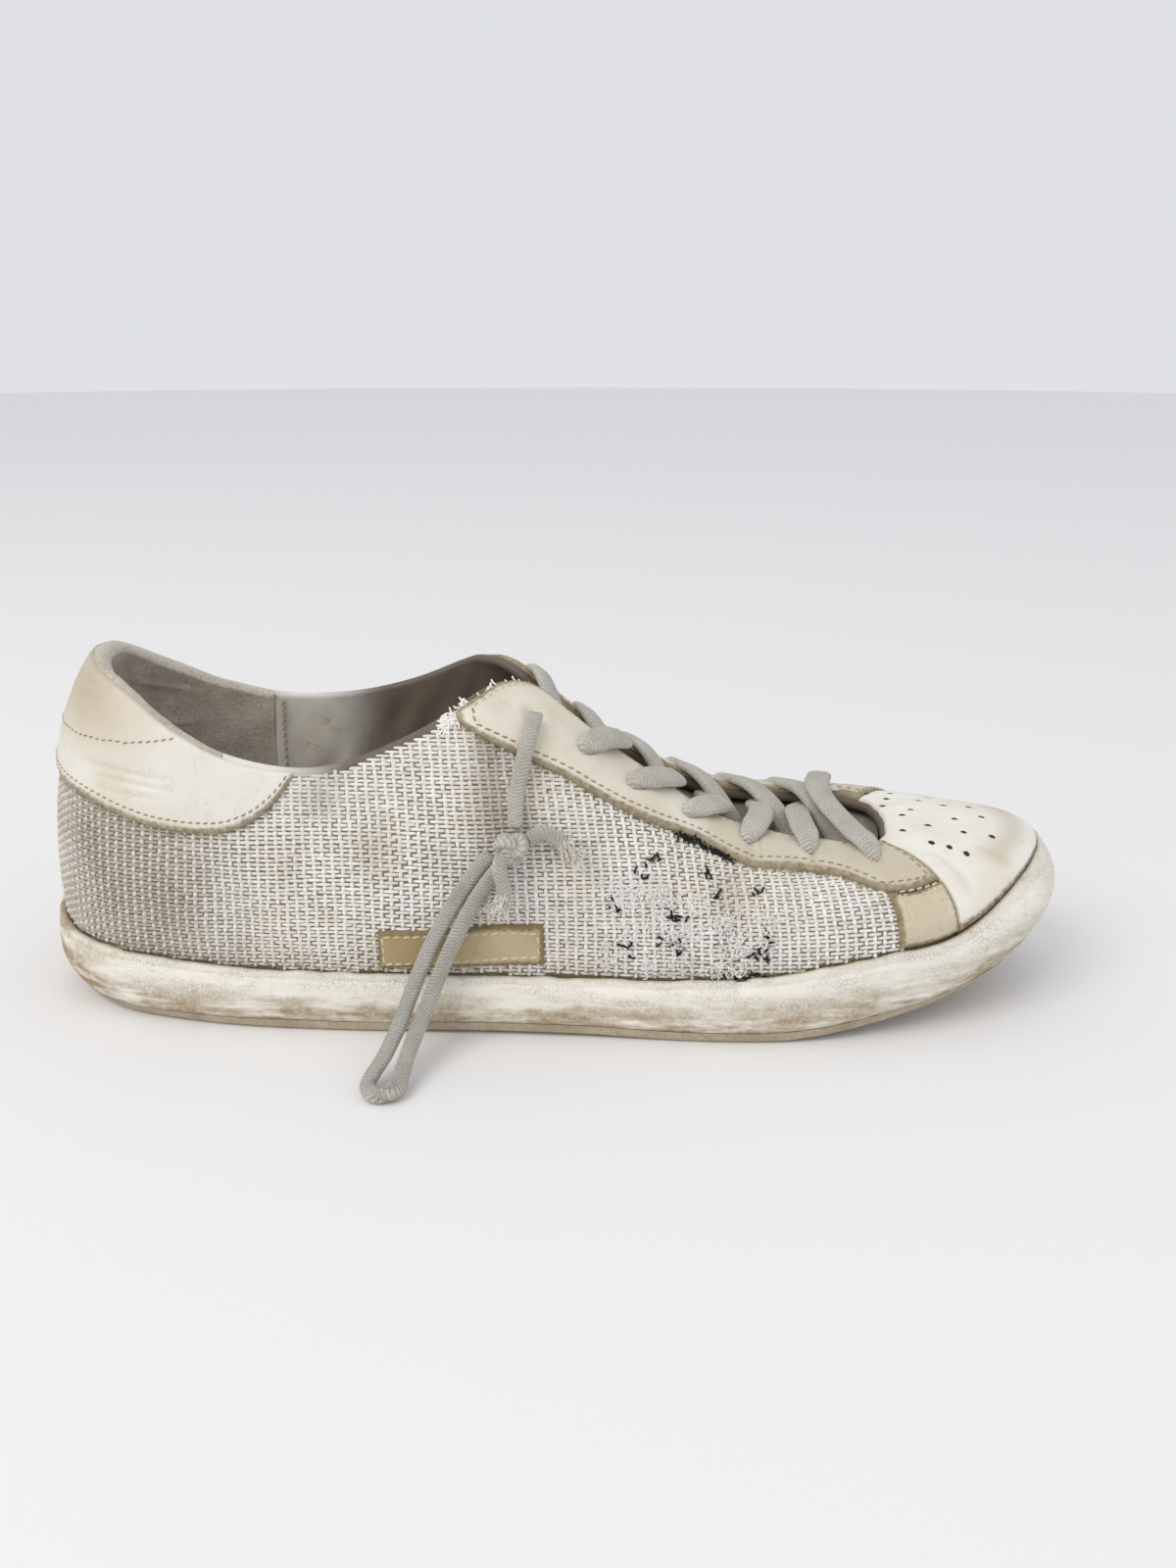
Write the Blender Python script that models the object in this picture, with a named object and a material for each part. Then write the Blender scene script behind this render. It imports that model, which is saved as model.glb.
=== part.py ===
"""Worn low-top sneaker for the right foot: a hollow upper in a cup sole, laced and standing empty.

X runs from heel to toe, Y to the medial (inner) side and Z up, with the origin on the floor at mid
length. Three coordinates say where a thing is on the shoe. `at` is a share of the length, from the
heel. `turn` goes once round the shoe: 0 at the heel, pi at the toe, by the lateral side first.
`climb` goes up the upper: 0 at the top of the foxing and 1 at the edge of the opening, and down to
-1 where the upper stands in the cup.
"""

import math

import bmesh
import bpy
import numpy as np

MM = 0.001


def table(columns, *rows):
    """Rows of numbers under named columns, as one array for each column."""
    return dict(zip(columns.split(), np.array(rows, float).T))


# Main sizes
LENGTH = 297 * MM
BALL_WIDTH = 100 * MM
INSTEP_HEIGHT = 93.5 * MM
HEEL_RADIUS = 37 * MM
TOE_RADIUS = 31 * MM
TOE_SWING = 3.5 * MM

# Sole
FOXING_HEIGHT = 17.5 * MM
FOXING_WALL = 2.2 * MM
RIM_INSET = 0.8 * MM
TOE_BULGE = 4.2 * MM
EDGE_INSET = 1.6 * MM
HEEL_BEVEL = 7.5 * MM
OUTSOLE_THICKNESS = 3.2 * MM
HEEL_FLOOR = 15 * MM
BALL_FLOOR = 8.5 * MM
TOE_SPRING = 16 * MM
ARCH_LIFT = 0.8 * MM
INSOLE_THICKNESS = 4 * MM
INSOLE_DISH = 1.2 * MM
GROOVE_WIDTH = 2.6 * MM
GROOVE_DEPTH = 1.4 * MM
GROOVE_PITCH = 9 * MM
TREAD_MARGIN = 9 * MM

# Upper, its overlays and laces
UPPER_WALL = 2.4 * MM
OVERLAY = 1.3 * MM
TOE_LEATHER = 0.9 * MM
TONGUE_THICKNESS = 3 * MM
TAG_THICKNESS = 1 * MM
LACE_WIDTH = 6.5 * MM
LACE_THICKNESS = 1.5 * MM
HANGING_LACE = 3.9 * MM
FRAYED_LACE = 3.4 * MM

# Room between pieces
GAP = 0.3 * MM
OVERLAY_GAP = 0.55 * MM
TONGUE_GAP = 0.9 * MM
LACE_GAP = 1.2 * MM

# Half widths of the sole from its centre line, as shares of the ball's width
OUTLINE = table(
    "at lateral medial",
    (0.03, 0.245, 0.235),
    (0.08, 0.358, 0.325),
    (0.13, 0.400, 0.360),
    (0.20, 0.435, 0.376),
    (0.30, 0.455, 0.365),
    (0.40, 0.466, 0.350),
    (0.50, 0.480, 0.360),
    (0.60, 0.503, 0.409),
    (0.67, 0.518, 0.456),
    (0.74, 0.520, 0.482),
    (0.80, 0.496, 0.466),
    (0.87, 0.441, 0.414),
    (0.92, 0.368, 0.333),
    (0.97, 0.238, 0.205),
)

# Top of the foxing above the floor, in foxing heights
FOXING_TOP = table(
    "at lateral medial",
    (0.00, 1.37, 1.37),
    (0.05, 1.23, 1.23),
    (0.11, 1.13, 1.13),
    (0.18, 1.06, 1.06),
    (0.30, 1.00, 1.00),
    (0.50, 1.00, 1.00),
    (0.62, 1.03, 1.03),
    (0.69, 1.11, 1.11),
    (0.76, 1.28, 1.28),
    (0.81, 1.39, 1.42),
    (0.86, 1.45, 1.56),
    (0.90, 1.63, 1.80),
    (0.94, 1.96, 2.12),
    (0.975, 2.25, 2.32),
    (1.00, 2.37, 2.37),
)

# Edge of the opening over each place of the sole's outline: its place along the shoe as a share of
# the length, its half width as a share of the ball's width, its height as a share of the instep's
LATERAL_EDGE = table(
    "at edge_at edge_half edge_high",
    (0.000, 0.067, 0.000, 1.055),
    (0.008, 0.070, 0.080, 1.050),
    (0.030, 0.081, 0.158, 1.030),
    (0.080, 0.114, 0.238, 0.976),
    (0.145, 0.163, 0.300, 0.870),
    (0.215, 0.217, 0.335, 0.797),
    (0.295, 0.291, 0.350, 0.777),
    (0.365, 0.355, 0.350, 0.845),
    (0.415, 0.402, 0.340, 0.922),
    (0.455, 0.432, 0.290, 0.978),
    (0.485, 0.453, 0.210, 0.996),
    (0.515, 0.477, 0.148, 0.975),
    (0.550, 0.511, 0.115, 0.878),
    (0.585, 0.558, 0.108, 0.758),
    (0.630, 0.608, 0.113, 0.640),
    (0.680, 0.660, 0.130, 0.545),
    (0.730, 0.709, 0.148, 0.508),
    (0.790, 0.758, 0.170, 0.490),
    (0.850, 0.797, 0.175, 0.482),
    (0.905, 0.816, 0.130, 0.487),
    (0.960, 0.822, 0.060, 0.495),
    (1.000, 0.824, -0.020, 0.500),
)
MEDIAL_EDGE = table(
    "at edge_at edge_half edge_high",
    (0.000, 0.067, 0.000, 1.055),
    (0.008, 0.070, 0.080, 1.045),
    (0.030, 0.081, 0.152, 1.010),
    (0.080, 0.115, 0.225, 0.938),
    (0.145, 0.160, 0.290, 0.862),
    (0.215, 0.217, 0.325, 0.813),
    (0.295, 0.291, 0.335, 0.815),
    (0.365, 0.355, 0.330, 0.862),
    (0.415, 0.402, 0.312, 0.925),
    (0.455, 0.426, 0.260, 0.960),
    (0.485, 0.446, 0.200, 0.965),
    (0.515, 0.470, 0.150, 0.930),
    (0.550, 0.507, 0.118, 0.832),
    (0.585, 0.554, 0.110, 0.735),
    (0.630, 0.608, 0.120, 0.630),
    (0.680, 0.660, 0.140, 0.562),
    (0.730, 0.709, 0.160, 0.535),
    (0.790, 0.758, 0.180, 0.520),
    (0.850, 0.797, 0.175, 0.508),
    (0.905, 0.816, 0.130, 0.502),
    (0.960, 0.822, 0.075, 0.500),
    (1.000, 0.824, 0.020, 0.500),
)

# How the upper bends from the foxing to the opening. It leaves the foxing upwards, for `rise` of
# its height and `flare` of the ball's width outwards, and comes to the edge from `roof` of the way
# back to the foxing and `drop` of its height below.
BEND = table(
    "at rise flare roof drop",
    (0.00, 0.345, 0.018, 0.81, 0.23),
    (0.13, 0.340, 0.022, 0.85, 0.24),
    (0.25, 0.340, 0.023, 0.90, 0.25),
    (0.40, 0.400, 0.030, 0.80, 0.22),
    (0.48, 0.500, 0.032, 0.72, 0.17),
    (0.60, 0.570, 0.034, 0.62, 0.09),
    (0.72, 0.600, 0.020, 0.55, 0.02),
    (0.84, 0.620, 0.012, 0.55, -0.02),
    (0.93, 0.620, 0.008, 0.56, -0.14),
    (1.00, 0.640, 0.007, 0.585, -0.36),
)

# Lower edge of the collar panel, as a climb. It ends at the opening's edge.
COLLAR_PANEL = table(
    "at lateral medial",
    (0.00, 0.545, 0.545),
    (0.05, 0.54, 0.54),
    (0.10, 0.54, 0.54),
    (0.14, 0.56, 0.56),
    (0.18, 0.60, 0.60),
    (0.21, 0.65, 0.65),
    (0.235, 0.73, 0.73),
    (0.255, 0.84, 0.84),
    (0.27, 0.96, 0.96),
)

# Lower edge of the eyestays, as a climb. They end at the opening's edge.
EYESTAY = table(
    "at lateral medial",
    (0.430, 0.95, 0.95),
    (0.445, 0.85, 0.85),
    (0.472, 0.72, 0.72),
    (0.507, 0.62, 0.62),
    (0.550, 0.595, 0.595),
    (0.600, 0.63, 0.63),
    (0.645, 0.68, 0.68),
    (0.690, 0.63, 0.63),
    (0.745, 0.64, 0.64),
    (0.782, 0.59, 0.59),
    (0.812, 0.48, 0.48),
    (0.880, 0.465, 0.465),
)
TAB_FROM = 0.818
EYESTAY_TO = 0.88

# The lace's holes, from the top pair to the toe
EYELETS = table(
    "lateral_at medial_at climb",
    (0.504, 0.500, 0.825),
    (0.550, 0.545, 0.785),
    (0.589, 0.585, 0.790),
    (0.640, 0.630, 0.830),
    (0.697, 0.682, 0.835),
    (0.758, 0.738, 0.830),
    (0.828, 0.800, 0.775),
)

# Top of the suede patch on the medial toe, as a climb
TOE_PATCH = table(
    "at medial",
    (0.880, 0.10),
    (0.900, 0.26),
    (0.930, 0.34),
    (0.965, 0.26),
    (0.990, 0.06),
)
TOE_PATCH_LOW = 0.03
BUTT = 0.02

# The small tag low on the lateral side, as climbs
TAG = table(
    "at low high",
    (0.341, 0.030, 0.205),
    (0.493, 0.034, 0.142),
)

# The hanging end of the lace, in millimetres: down from the top lateral eyelet to the knot, the loop
# from the knot to the floor and back, and the two frayed tails
LACE_END = table(
    "x y z",
    (-4.4, -29.9, 87.2),
    (-5.4, -34.2, 84.0),
    (-6.5, -37.7, 80.5),
    (-7.9, -40.1, 74.3),
    (-9.1, -41.9, 68.5),
    (-9.3, -43.6, 64.6),
    (-9.4, -45.6, 61.0),
)
LACE_LOOP = table(
    "x y z",
    (-16.0, -47.0, 53.6),
    (-18.3, -47.2, 51.0),
    (-21.6, -47.7, 46.6),
    (-26.2, -48.6, 39.5),
    (-31.0, -49.6, 31.0),
    (-33.8, -51.0, 25.0),
    (-36.2, -52.6, 19.3),
    (-38.1, -55.6, 14.7),
    (-39.5, -59.4, 11.4),
    (-41.2, -64.3, 8.4),
    (-43.0, -69.2, 5.8),
    (-45.0, -73.4, 3.8),
    (-45.8, -77.4, 2.5),
    (-43.6, -80.7, 2.2),
    (-40.2, -80.8, 2.2),
    (-38.0, -78.2, 2.5),
    (-37.6, -74.4, 3.8),
    (-37.0, -70.4, 5.8),
    (-35.9, -65.6, 8.2),
    (-34.4, -60.6, 11.0),
    (-32.8, -57.0, 14.4),
    (-31.0, -54.4, 18.6),
    (-28.6, -52.5, 24.2),
    (-25.6, -51.3, 31.0),
    (-21.0, -50.5, 40.0),
    (-17.0, -50.0, 46.4),
    (-13.5, -49.7, 51.0),
)
TAIL_FRONT = table(
    "x y z",
    (-5.5, -47.2, 58.1),
    (-2.6, -46.3, 59.6),
    (1.0, -46.0, 58.5),
    (4.3, -46.0, 54.8),
    (7.0, -46.0, 52.4),
)
TAIL_LOW = table(
    "x y z",
    (-12.1, -52.9, 55.7),
    (-12.9, -54.0, 53.4),
    (-12.6, -54.3, 50.4),
    (-11.9, -54.0, 47.0),
    (-12.5, -52.9, 43.2),
    (-14.0, -51.6, 39.8),
)

# The knot, in millimetres, and how deep its dents go as a share of its size
KNOT_CENTRE = (-10.1, -48.0, 56.0)
KNOT_SIZE = (10.4, 7.8, 11.2)
KNOT_DENT = 0.14

# Points round the shoe, the upper's climbs, and the step that slopes are measured over
AROUND = 84
CLIMBS = np.concatenate([[-1.0], np.linspace(0, 1, 12)])
STEP = 1e-4


def turn_of(at, side=1):
    """The turn at a share of the length, on the lateral side (1) or the medial side (-1)."""
    return side * np.arccos(1 - 2 * np.asarray(at, float))


def half_turn(turn):
    """How far the turn is from the heel on its own side, from 0 to pi, and whether it is lateral."""
    wrapped = (np.asarray(turn, float) + math.pi) % (2 * math.pi) - math.pi
    return np.abs(wrapped), wrapped >= 0


def through(knots, values, where):
    """A smooth curve through the values at the knots: cubic Hermite, slopes by differences."""
    slopes = np.gradient(values, knots)
    i = np.clip(np.searchsorted(knots, where) - 1, 0, len(knots) - 2)
    span = knots[i + 1] - knots[i]
    t = np.clip((where - knots[i]) / span, 0, 1)
    return (
        values[i] * (2 * t**3 - 3 * t**2 + 1)
        + values[i + 1] * (3 * t**2 - 2 * t**3)
        + slopes[i] * span * (t**3 - 2 * t**2 + t)
        + slopes[i + 1] * span * (t**3 - t**2)
    )


def column(rows, name, turn):
    """A table's column at the turn, on a smooth curve through its rows."""
    return through(turn_of(rows["at"]), rows[name], half_turn(turn)[0])


def sided(rows, turn):
    """The lateral or the medial column of a table, whichever side the turn is on."""
    lateral = half_turn(turn)[1]
    return np.where(lateral, column(rows, "lateral", turn), column(rows, "medial", turn))


def place(turn):
    """The share of the length at the turn."""
    return (1 - np.cos(half_turn(turn)[0])) / 2


def ease(x):
    """From 0 to 1 with a soft start and end."""
    x = np.clip(x, 0, 1)
    return x * x * (3 - 2 * x)


def plan(turn):
    """The sole's widest outline: half width over sine stays smooth, so both ends come out round."""
    angle, lateral = half_turn(turn)
    knots = np.concatenate([[0], turn_of(OUTLINE["at"]), [math.pi]])
    fullness = []
    for side in ("lateral", "medial"):
        inner = BALL_WIDTH * OUTLINE[side] / np.sin(knots[1:-1])
        ends = np.sqrt(np.array([HEEL_RADIUS, TOE_RADIUS]) * LENGTH / 2)
        fullness.append(through(knots, np.concatenate([ends[:1], inner, ends[1:]]), angle))
    half = np.where(lateral, -fullness[0], fullness[1]) * np.sin(angle)
    at = place(turn)
    centre = TOE_SWING * ease((at - 0.6) / 0.4)
    return np.stack([LENGTH * (at - 0.5), centre + half], -1)


def outward(turn):
    """The outline's unit normal, pointing away from the shoe."""
    along = plan(turn + STEP) - plan(turn - STEP)
    normal = np.stack([along[..., 1], -along[..., 0]], -1)
    return normal / np.linalg.norm(normal, axis=-1, keepdims=True)


def ring(turn, inset, height):
    """Points of the outline moved in by the inset, at the height."""
    flat = plan(turn) - outward(turn) * np.asarray(inset)[..., None]
    return np.concatenate([flat, np.broadcast_to(height, flat.shape[:-1])[..., None]], -1)


def underside(turn):
    """Height of the sole's underside: flat heel and ball, a lifted arch, and the toe's spring."""
    at = place(turn)
    arch = ARCH_LIFT * ease((at - 0.32) / 0.1) * ease((0.62 - at) / 0.1)
    return arch + TOE_SPRING * np.clip((at - 0.70) / 0.30, 0, 1) ** 1.35


def foxing_top(turn):
    return FOXING_HEIGHT * sided(FOXING_TOP, turn)


def cup_floor(turn):
    """Height of the cup's inner floor, which falls from the heel to the ball."""
    at = place(turn)
    thickness = HEEL_FLOOR + (BALL_FLOOR - HEEL_FLOOR) * ease((at - 0.15) / 0.5)
    return thickness + TOE_SPRING * np.clip((at - 0.70) / 0.30, 0, 1) ** 1.35


def rim_inset(turn):
    """How far the foxing's top edge lies inside the widest outline: more at the full toe."""
    return RIM_INSET + TOE_BULGE * ease((place(turn) - 0.8) / 0.2)


def foxing_inset(turn, share):
    """Inset of the sole's side at a share of its height: in at the floor, out, and in at the rim."""
    widest = 0.6
    low = EDGE_INSET + HEEL_BEVEL * np.cos(half_turn(turn)[0]) ** 4
    below = np.clip(1 - share / widest, 0, 1)
    above = np.clip((share - widest) / (1 - widest), 0, 1)
    return low * below**2 + rim_inset(turn) * above**2


def inner_inset(turn):
    """Inset of the cup's inner wall."""
    return rim_inset(turn) + FOXING_WALL


def opening(turn):
    """The edge of the collar and throat over the turn."""
    lateral = half_turn(turn)[1]
    parts = []
    for name in ("edge_at", "edge_half", "edge_high"):
        sides = (column(LATERAL_EDGE, name, turn), column(MEDIAL_EDGE, name, turn))
        parts.append(np.where(lateral, *sides))
    half = np.where(lateral, -parts[1], parts[1])
    return np.stack([LENGTH * (parts[0] - 0.5), BALL_WIDTH * half, INSTEP_HEIGHT * parts[2]], -1)


def skin(turn, climb):
    """The upper's outer surface: upright in the cup, then one cubic Bezier up to the opening."""
    turn, climb = np.broadcast_arrays(np.asarray(turn, float), np.asarray(climb, float))
    inset = inner_inset(turn) + GAP
    foot = ring(turn, inset, foxing_top(turn))
    edge = opening(turn)
    up = np.array([0, 0, 1.0])
    height = (edge - foot)[..., 2:]
    back = (foot - edge) * np.array([1, 1, 0])
    normal = np.concatenate([outward(turn), np.zeros(turn.shape + (1,))], -1)
    rise, flare, roof, drop = (column(BEND, n, turn)[..., None] for n in ("rise", "flare", "roof", "drop"))
    first = foot + normal * flare * BALL_WIDTH + up * rise * height
    second = edge + back * roof - up * drop * height
    t = np.clip(climb, 0, 1)[..., None]
    s = 1 - t
    surface = s**3 * foot + 3 * s**2 * t * first + 3 * s * t**2 * second + t**3 * edge
    tuck = np.clip(-climb, 0, 1) * (foxing_top(turn) - cup_floor(turn) - GAP)
    surface[..., 2] -= tuck
    return surface


def skin_normal(turn, climb):
    """The upper's outward unit normal."""
    climb = np.clip(climb, -1 + 2 * STEP, 1 - 2 * STEP)
    around = skin(turn + STEP, climb) - skin(turn - STEP, climb)
    upwards = skin(turn, climb + STEP) - skin(turn, climb - STEP)
    normal = np.cross(around, upwards)
    return normal / np.linalg.norm(normal, axis=-1, keepdims=True)


def over(turn, climb, lift):
    """A point above the upper's outer surface, or inside it where the lift is negative."""
    lift = np.asarray(lift, float)
    return skin(turn, climb) + skin_normal(turn, climb) * lift[..., None]


def material(name, colour, roughness):
    """A Principled material from an sRGB colour, given as a hex number."""
    made = bpy.data.materials.new(name)
    made.use_nodes = True
    shader = made.node_tree.nodes["Principled BSDF"]
    parts = [(colour >> shift & 255) / 255 for shift in (16, 8, 0)]
    linear = [p / 12.92 if p <= 0.04045 else ((p + 0.055) / 1.055) ** 2.4 for p in parts]
    shader.inputs["Base Color"].default_value = (*linear, 1)
    shader.inputs["Roughness"].default_value = roughness
    made.diffuse_color = (*linear, 1)
    return made


def add_mesh(name, points, faces, finish, sharp=math.radians(35)):
    """One object from points and faces, closed, with its faces turned outwards."""
    mesh = bpy.data.meshes.new(name)
    mesh.from_pydata([tuple(p) for p in np.asarray(points).reshape(-1, 3)], [], faces)
    work = bmesh.new()
    work.from_mesh(mesh)
    bmesh.ops.recalc_face_normals(work, faces=work.faces)
    work.to_mesh(mesh)
    work.free()
    mesh.shade_smooth()
    mesh.set_sharp_from_angle(angle=sharp)
    mesh.materials.append(finish)
    made = bpy.data.objects.new(name, mesh)
    bpy.context.scene.collection.objects.link(made)
    return made


def strip(first, second):
    """Quads between two rows of point numbers of the same length."""
    return [(a, b, d, c) for a, b, c, d in zip(first[:-1], first[1:], second[:-1], second[1:])]


def hollow_ring(name, grid, finish):
    """A closed band round the shoe: the grid's rows are its section, and both directions close."""
    rows, columns = grid.shape[:2]
    index = np.arange(rows * columns).reshape(rows, columns)
    index = np.concatenate([index, index[:1]], 0)
    index = np.concatenate([index, index[:, :1]], 1).tolist()
    faces = [quad for a, b in zip(index[:-1], index[1:]) for quad in strip(a, b)]
    return add_mesh(name, grid, faces, finish)


def ladder(index):
    """Faces that close a ring, by rungs from each point to the one opposite."""
    half = len(index) // 2
    lateral = index[: half + 1]
    medial = [index[0]] + index[: half - 1 : -1]
    faces = strip(lateral[1:-1], medial[1:-1])
    faces.append((lateral[0], lateral[1], medial[1]))
    faces.append((lateral[-1], medial[-2], lateral[-2]))
    return faces


def capped_rings(name, grid, finish):
    """A body from rings laid one on another, closed by rungs at the first and the last ring."""
    rows, columns = grid.shape[:2]
    index = np.arange(rows * columns).reshape(rows, columns)
    wrapped = np.concatenate([index, index[:, :1]], 1).tolist()
    faces = [quad for a, b in zip(wrapped[:-1], wrapped[1:]) for quad in strip(a, b)]
    faces += ladder(index[0].tolist()) + ladder(index[-1].tolist())
    return add_mesh(name, grid, faces, finish)


def slab(name, top, bottom, finish):
    """A sheet between two grids of points, closed along its four edges."""
    rows, columns = top.shape[:2]
    index = np.arange(rows * columns).reshape(rows, columns)
    under = index + rows * columns
    faces = []
    for sheet in (index.tolist(), under.tolist()):
        faces += [quad for a, b in zip(sheet[:-1], sheet[1:]) for quad in strip(a, b)]
    for edge in (np.s_[0, :], np.s_[-1, :], np.s_[:, 0], np.s_[:, -1]):
        faces += strip(index[edge].tolist(), under[edge].tolist())
    return add_mesh(name, np.concatenate([top.reshape(-1, 3), bottom.reshape(-1, 3)]), faces, finish)


def stations():
    """The turns of the points round the shoe: lateral and medial ones lie opposite each other."""
    return np.arange(AROUND) * 2 * math.pi / AROUND


def between(first, last):
    """Both turns and the stations between them, so that a panel bends where the upper does."""
    pitch = 2 * math.pi / AROUND
    inner = np.arange(math.ceil(first / pitch + 0.2), math.floor(last / pitch - 0.2) + 1) * pitch
    return np.concatenate([[first], inner, [last]])


def build_outsole(finish):
    """The rubber under the sole, with grooves across the heel and the ball."""
    turn = stations()
    low = underside(turn)
    high = foxing_top(turn)
    bevel = 0.8 * MM
    levels = [(0, bevel), (bevel, 0), (OUTSOLE_THICKNESS, 0)]
    rings = [ring(turn, foxing_inset(turn, z / (high - low)) + more, low + z) for z, more in levels]
    outsole = capped_rings("outsole", np.array(rings), finish)
    cut_grooves(outsole)
    return outsole


def cut_grooves(outsole):
    """Cuts grooves across the tread, each following the underside between two places."""
    count = int(LENGTH / GROOVE_PITCH)
    points, faces = [], []
    for number in range(2, count - 1):
        at = number * GROOVE_PITCH / LENGTH
        if 0.33 < at < 0.56:
            continue
        corners = []
        for edge in (at - GROOVE_WIDTH / 2 / LENGTH, at + GROOVE_WIDTH / 2 / LENGTH):
            turn = turn_of(edge)
            inset = foxing_inset(turn, 0) + TREAD_MARGIN
            lateral = plan(turn)[1] + inset
            medial = plan(-turn)[1] - inset
            x = LENGTH * (edge - 0.5)
            z = underside(turn)
            corners += [(x, y, z + dz) for y in (lateral, medial) for dz in (-2 * MM, GROOVE_DEPTH)]
        base = len(points)
        points += corners
        quads = [(0, 1, 3, 2), (4, 5, 7, 6), (0, 1, 5, 4), (2, 3, 7, 6), (0, 2, 6, 4), (1, 3, 7, 5)]
        faces += [tuple(base + i for i in quad) for quad in quads]
    cutter = add_mesh("tread_cutter", points, faces, outsole.data.materials[0])
    cutter.hide_render = True
    cutter.display_type = "WIRE"
    cut = outsole.modifiers.new("tread", "BOOLEAN")
    cut.operation = "DIFFERENCE"
    cut.object = cutter


def build_cup_sole(finish):
    """The moulded cup: floor, heel wedge and the foxing that stands round the upper."""
    turn = stations()
    low, high = underside(turn), foxing_top(turn)
    first = (OUTSOLE_THICKNESS + GAP) / (high - low)
    rings = []
    for step in np.linspace(0, 1, 6):
        share = first + (1 - first) * step
        rings.append(ring(turn, foxing_inset(turn, share), low + share * (high - low)))
    rings.append(ring(turn, inner_inset(turn), high))
    rings.append(ring(turn, inner_inset(turn), cup_floor(turn)))
    return capped_rings("cup_sole", np.array(rings), finish)


def build_insole(finish):
    """The footbed inside the upper, dished towards its middle."""
    turn = stations()
    inset = inner_inset(turn) + UPPER_WALL + 3 * GAP
    low = cup_floor(turn) + GAP
    rings = [
        ring(turn, inset, low),
        ring(turn, inset, low + INSOLE_THICKNESS),
        ring(turn, inset + 8 * MM, low + INSOLE_THICKNESS - INSOLE_DISH),
    ]
    return capped_rings("insole", np.array(rings), finish)


def build_upper(finish):
    """The hollow upper, open at the collar and throat and underneath."""
    turn, climb = np.meshgrid(stations(), CLIMBS)
    outer = skin(turn, climb)
    inner = over(turn, climb, np.full(turn.shape, -UPPER_WALL))
    inner[0, :, 2] = outer[0, :, 2]
    return hollow_ring("upper", np.concatenate([outer, inner[::-1]]), finish)


def overlay(name, turns, low, high, rows, finish, thickness=OVERLAY):
    """A panel laid over the upper between two climbs, which may change along it."""
    share = np.linspace(0, 1, rows)[:, None]
    climb = low + (high - low) * share
    turn = np.broadcast_to(turns, climb.shape)
    base = np.full(climb.shape, OVERLAY_GAP)
    return slab(name, over(turn, climb, base + thickness), over(turn, climb, base), finish)


def build_collar_panel(finish):
    """The smooth leather round the heel, down from the collar."""
    reach = turn_of(COLLAR_PANEL["at"][-1])
    turns = between(-reach, reach)
    return overlay("collar_panel", turns, sided(COLLAR_PANEL, turns), 1, 7, finish)


def build_eyestay(side, finish, tab_finish):
    """The facing along the throat, and the tab that runs down from it to the foxing."""
    name = "lateral" if side > 0 else "medial"
    turns = side * between(turn_of(EYESTAY["at"][0]), turn_of(EYESTAY_TO))
    low = sided(EYESTAY, turns)
    overlay("eyestay_" + name, turns, low, 1, 6, finish)
    turns = side * between(turn_of(TAB_FROM), turn_of(EYESTAY_TO))
    high = sided(EYESTAY, turns) - BUTT
    overlay("eyestay_tab_" + name, turns, np.full(turns.shape, TOE_PATCH_LOW), high, 5, tab_finish)


def build_toe_box(finish):
    """The leather over the toes, between the two eyestays and above the suede patch."""
    reach = turn_of(EYESTAY_TO) + BUTT
    patch_end = turn_of(TOE_PATCH["at"][-1])
    turns = np.sort(np.append(between(reach, 2 * math.pi - reach), 2 * math.pi - patch_end))
    angle, lateral = half_turn(turns)
    patched = ~lateral & (angle <= patch_end + STEP)
    low = np.where(patched, column(TOE_PATCH, "medial", turns) + BUTT, TOE_PATCH_LOW)
    return overlay("toe_box", turns, low, 1, 9, finish, TOE_LEATHER)


def build_toe_patch(finish):
    """The suede patch low on the medial side of the toe."""
    turns = -between(turn_of(EYESTAY_TO) + BUTT, turn_of(TOE_PATCH["at"][-1]))
    high = column(TOE_PATCH, "medial", turns)
    return overlay("toe_patch", turns, np.full(turns.shape, TOE_PATCH_LOW), high, 6, finish)


def build_tag(finish):
    """The small leather tag stitched low on the lateral side."""
    turns = between(*turn_of(TAG["at"]))
    low, high = column(TAG, "low", turns), column(TAG, "high", turns)
    return overlay("side_tag", turns, low, high, 3, finish, TAG_THICKNESS)


def build_tongue(finish):
    """The tongue, sunk under the throat: each row runs below both facings and spans the gap."""
    ats = np.linspace(0.90, 0.53, 14)
    drop = UPPER_WALL + TONGUE_GAP
    rows = {}
    for name, lift in (("top", -drop), ("bottom", -drop - TONGUE_THICKNESS)):
        grid = []
        for at in ats:
            lateral = [over(turn_of(at), c, np.float64(lift)) for c in (0.84, 0.92, 1.0)]
            medial = [over(turn_of(at, -1), c, np.float64(lift)) for c in (1.0, 0.92, 0.84)]
            grid.append(lateral + [(lateral[-1] + medial[0]) / 2] + medial)
        rows[name] = np.array(grid)
    return slab("tongue", rows["top"], rows["bottom"], finish)


def eyelet(number, side):
    """The turn and climb of an eyelet, counted from the top one."""
    name = "lateral_at" if side > 0 else "medial_at"
    return turn_of(EYELETS[name][number], side), EYELETS["climb"][number]


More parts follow.
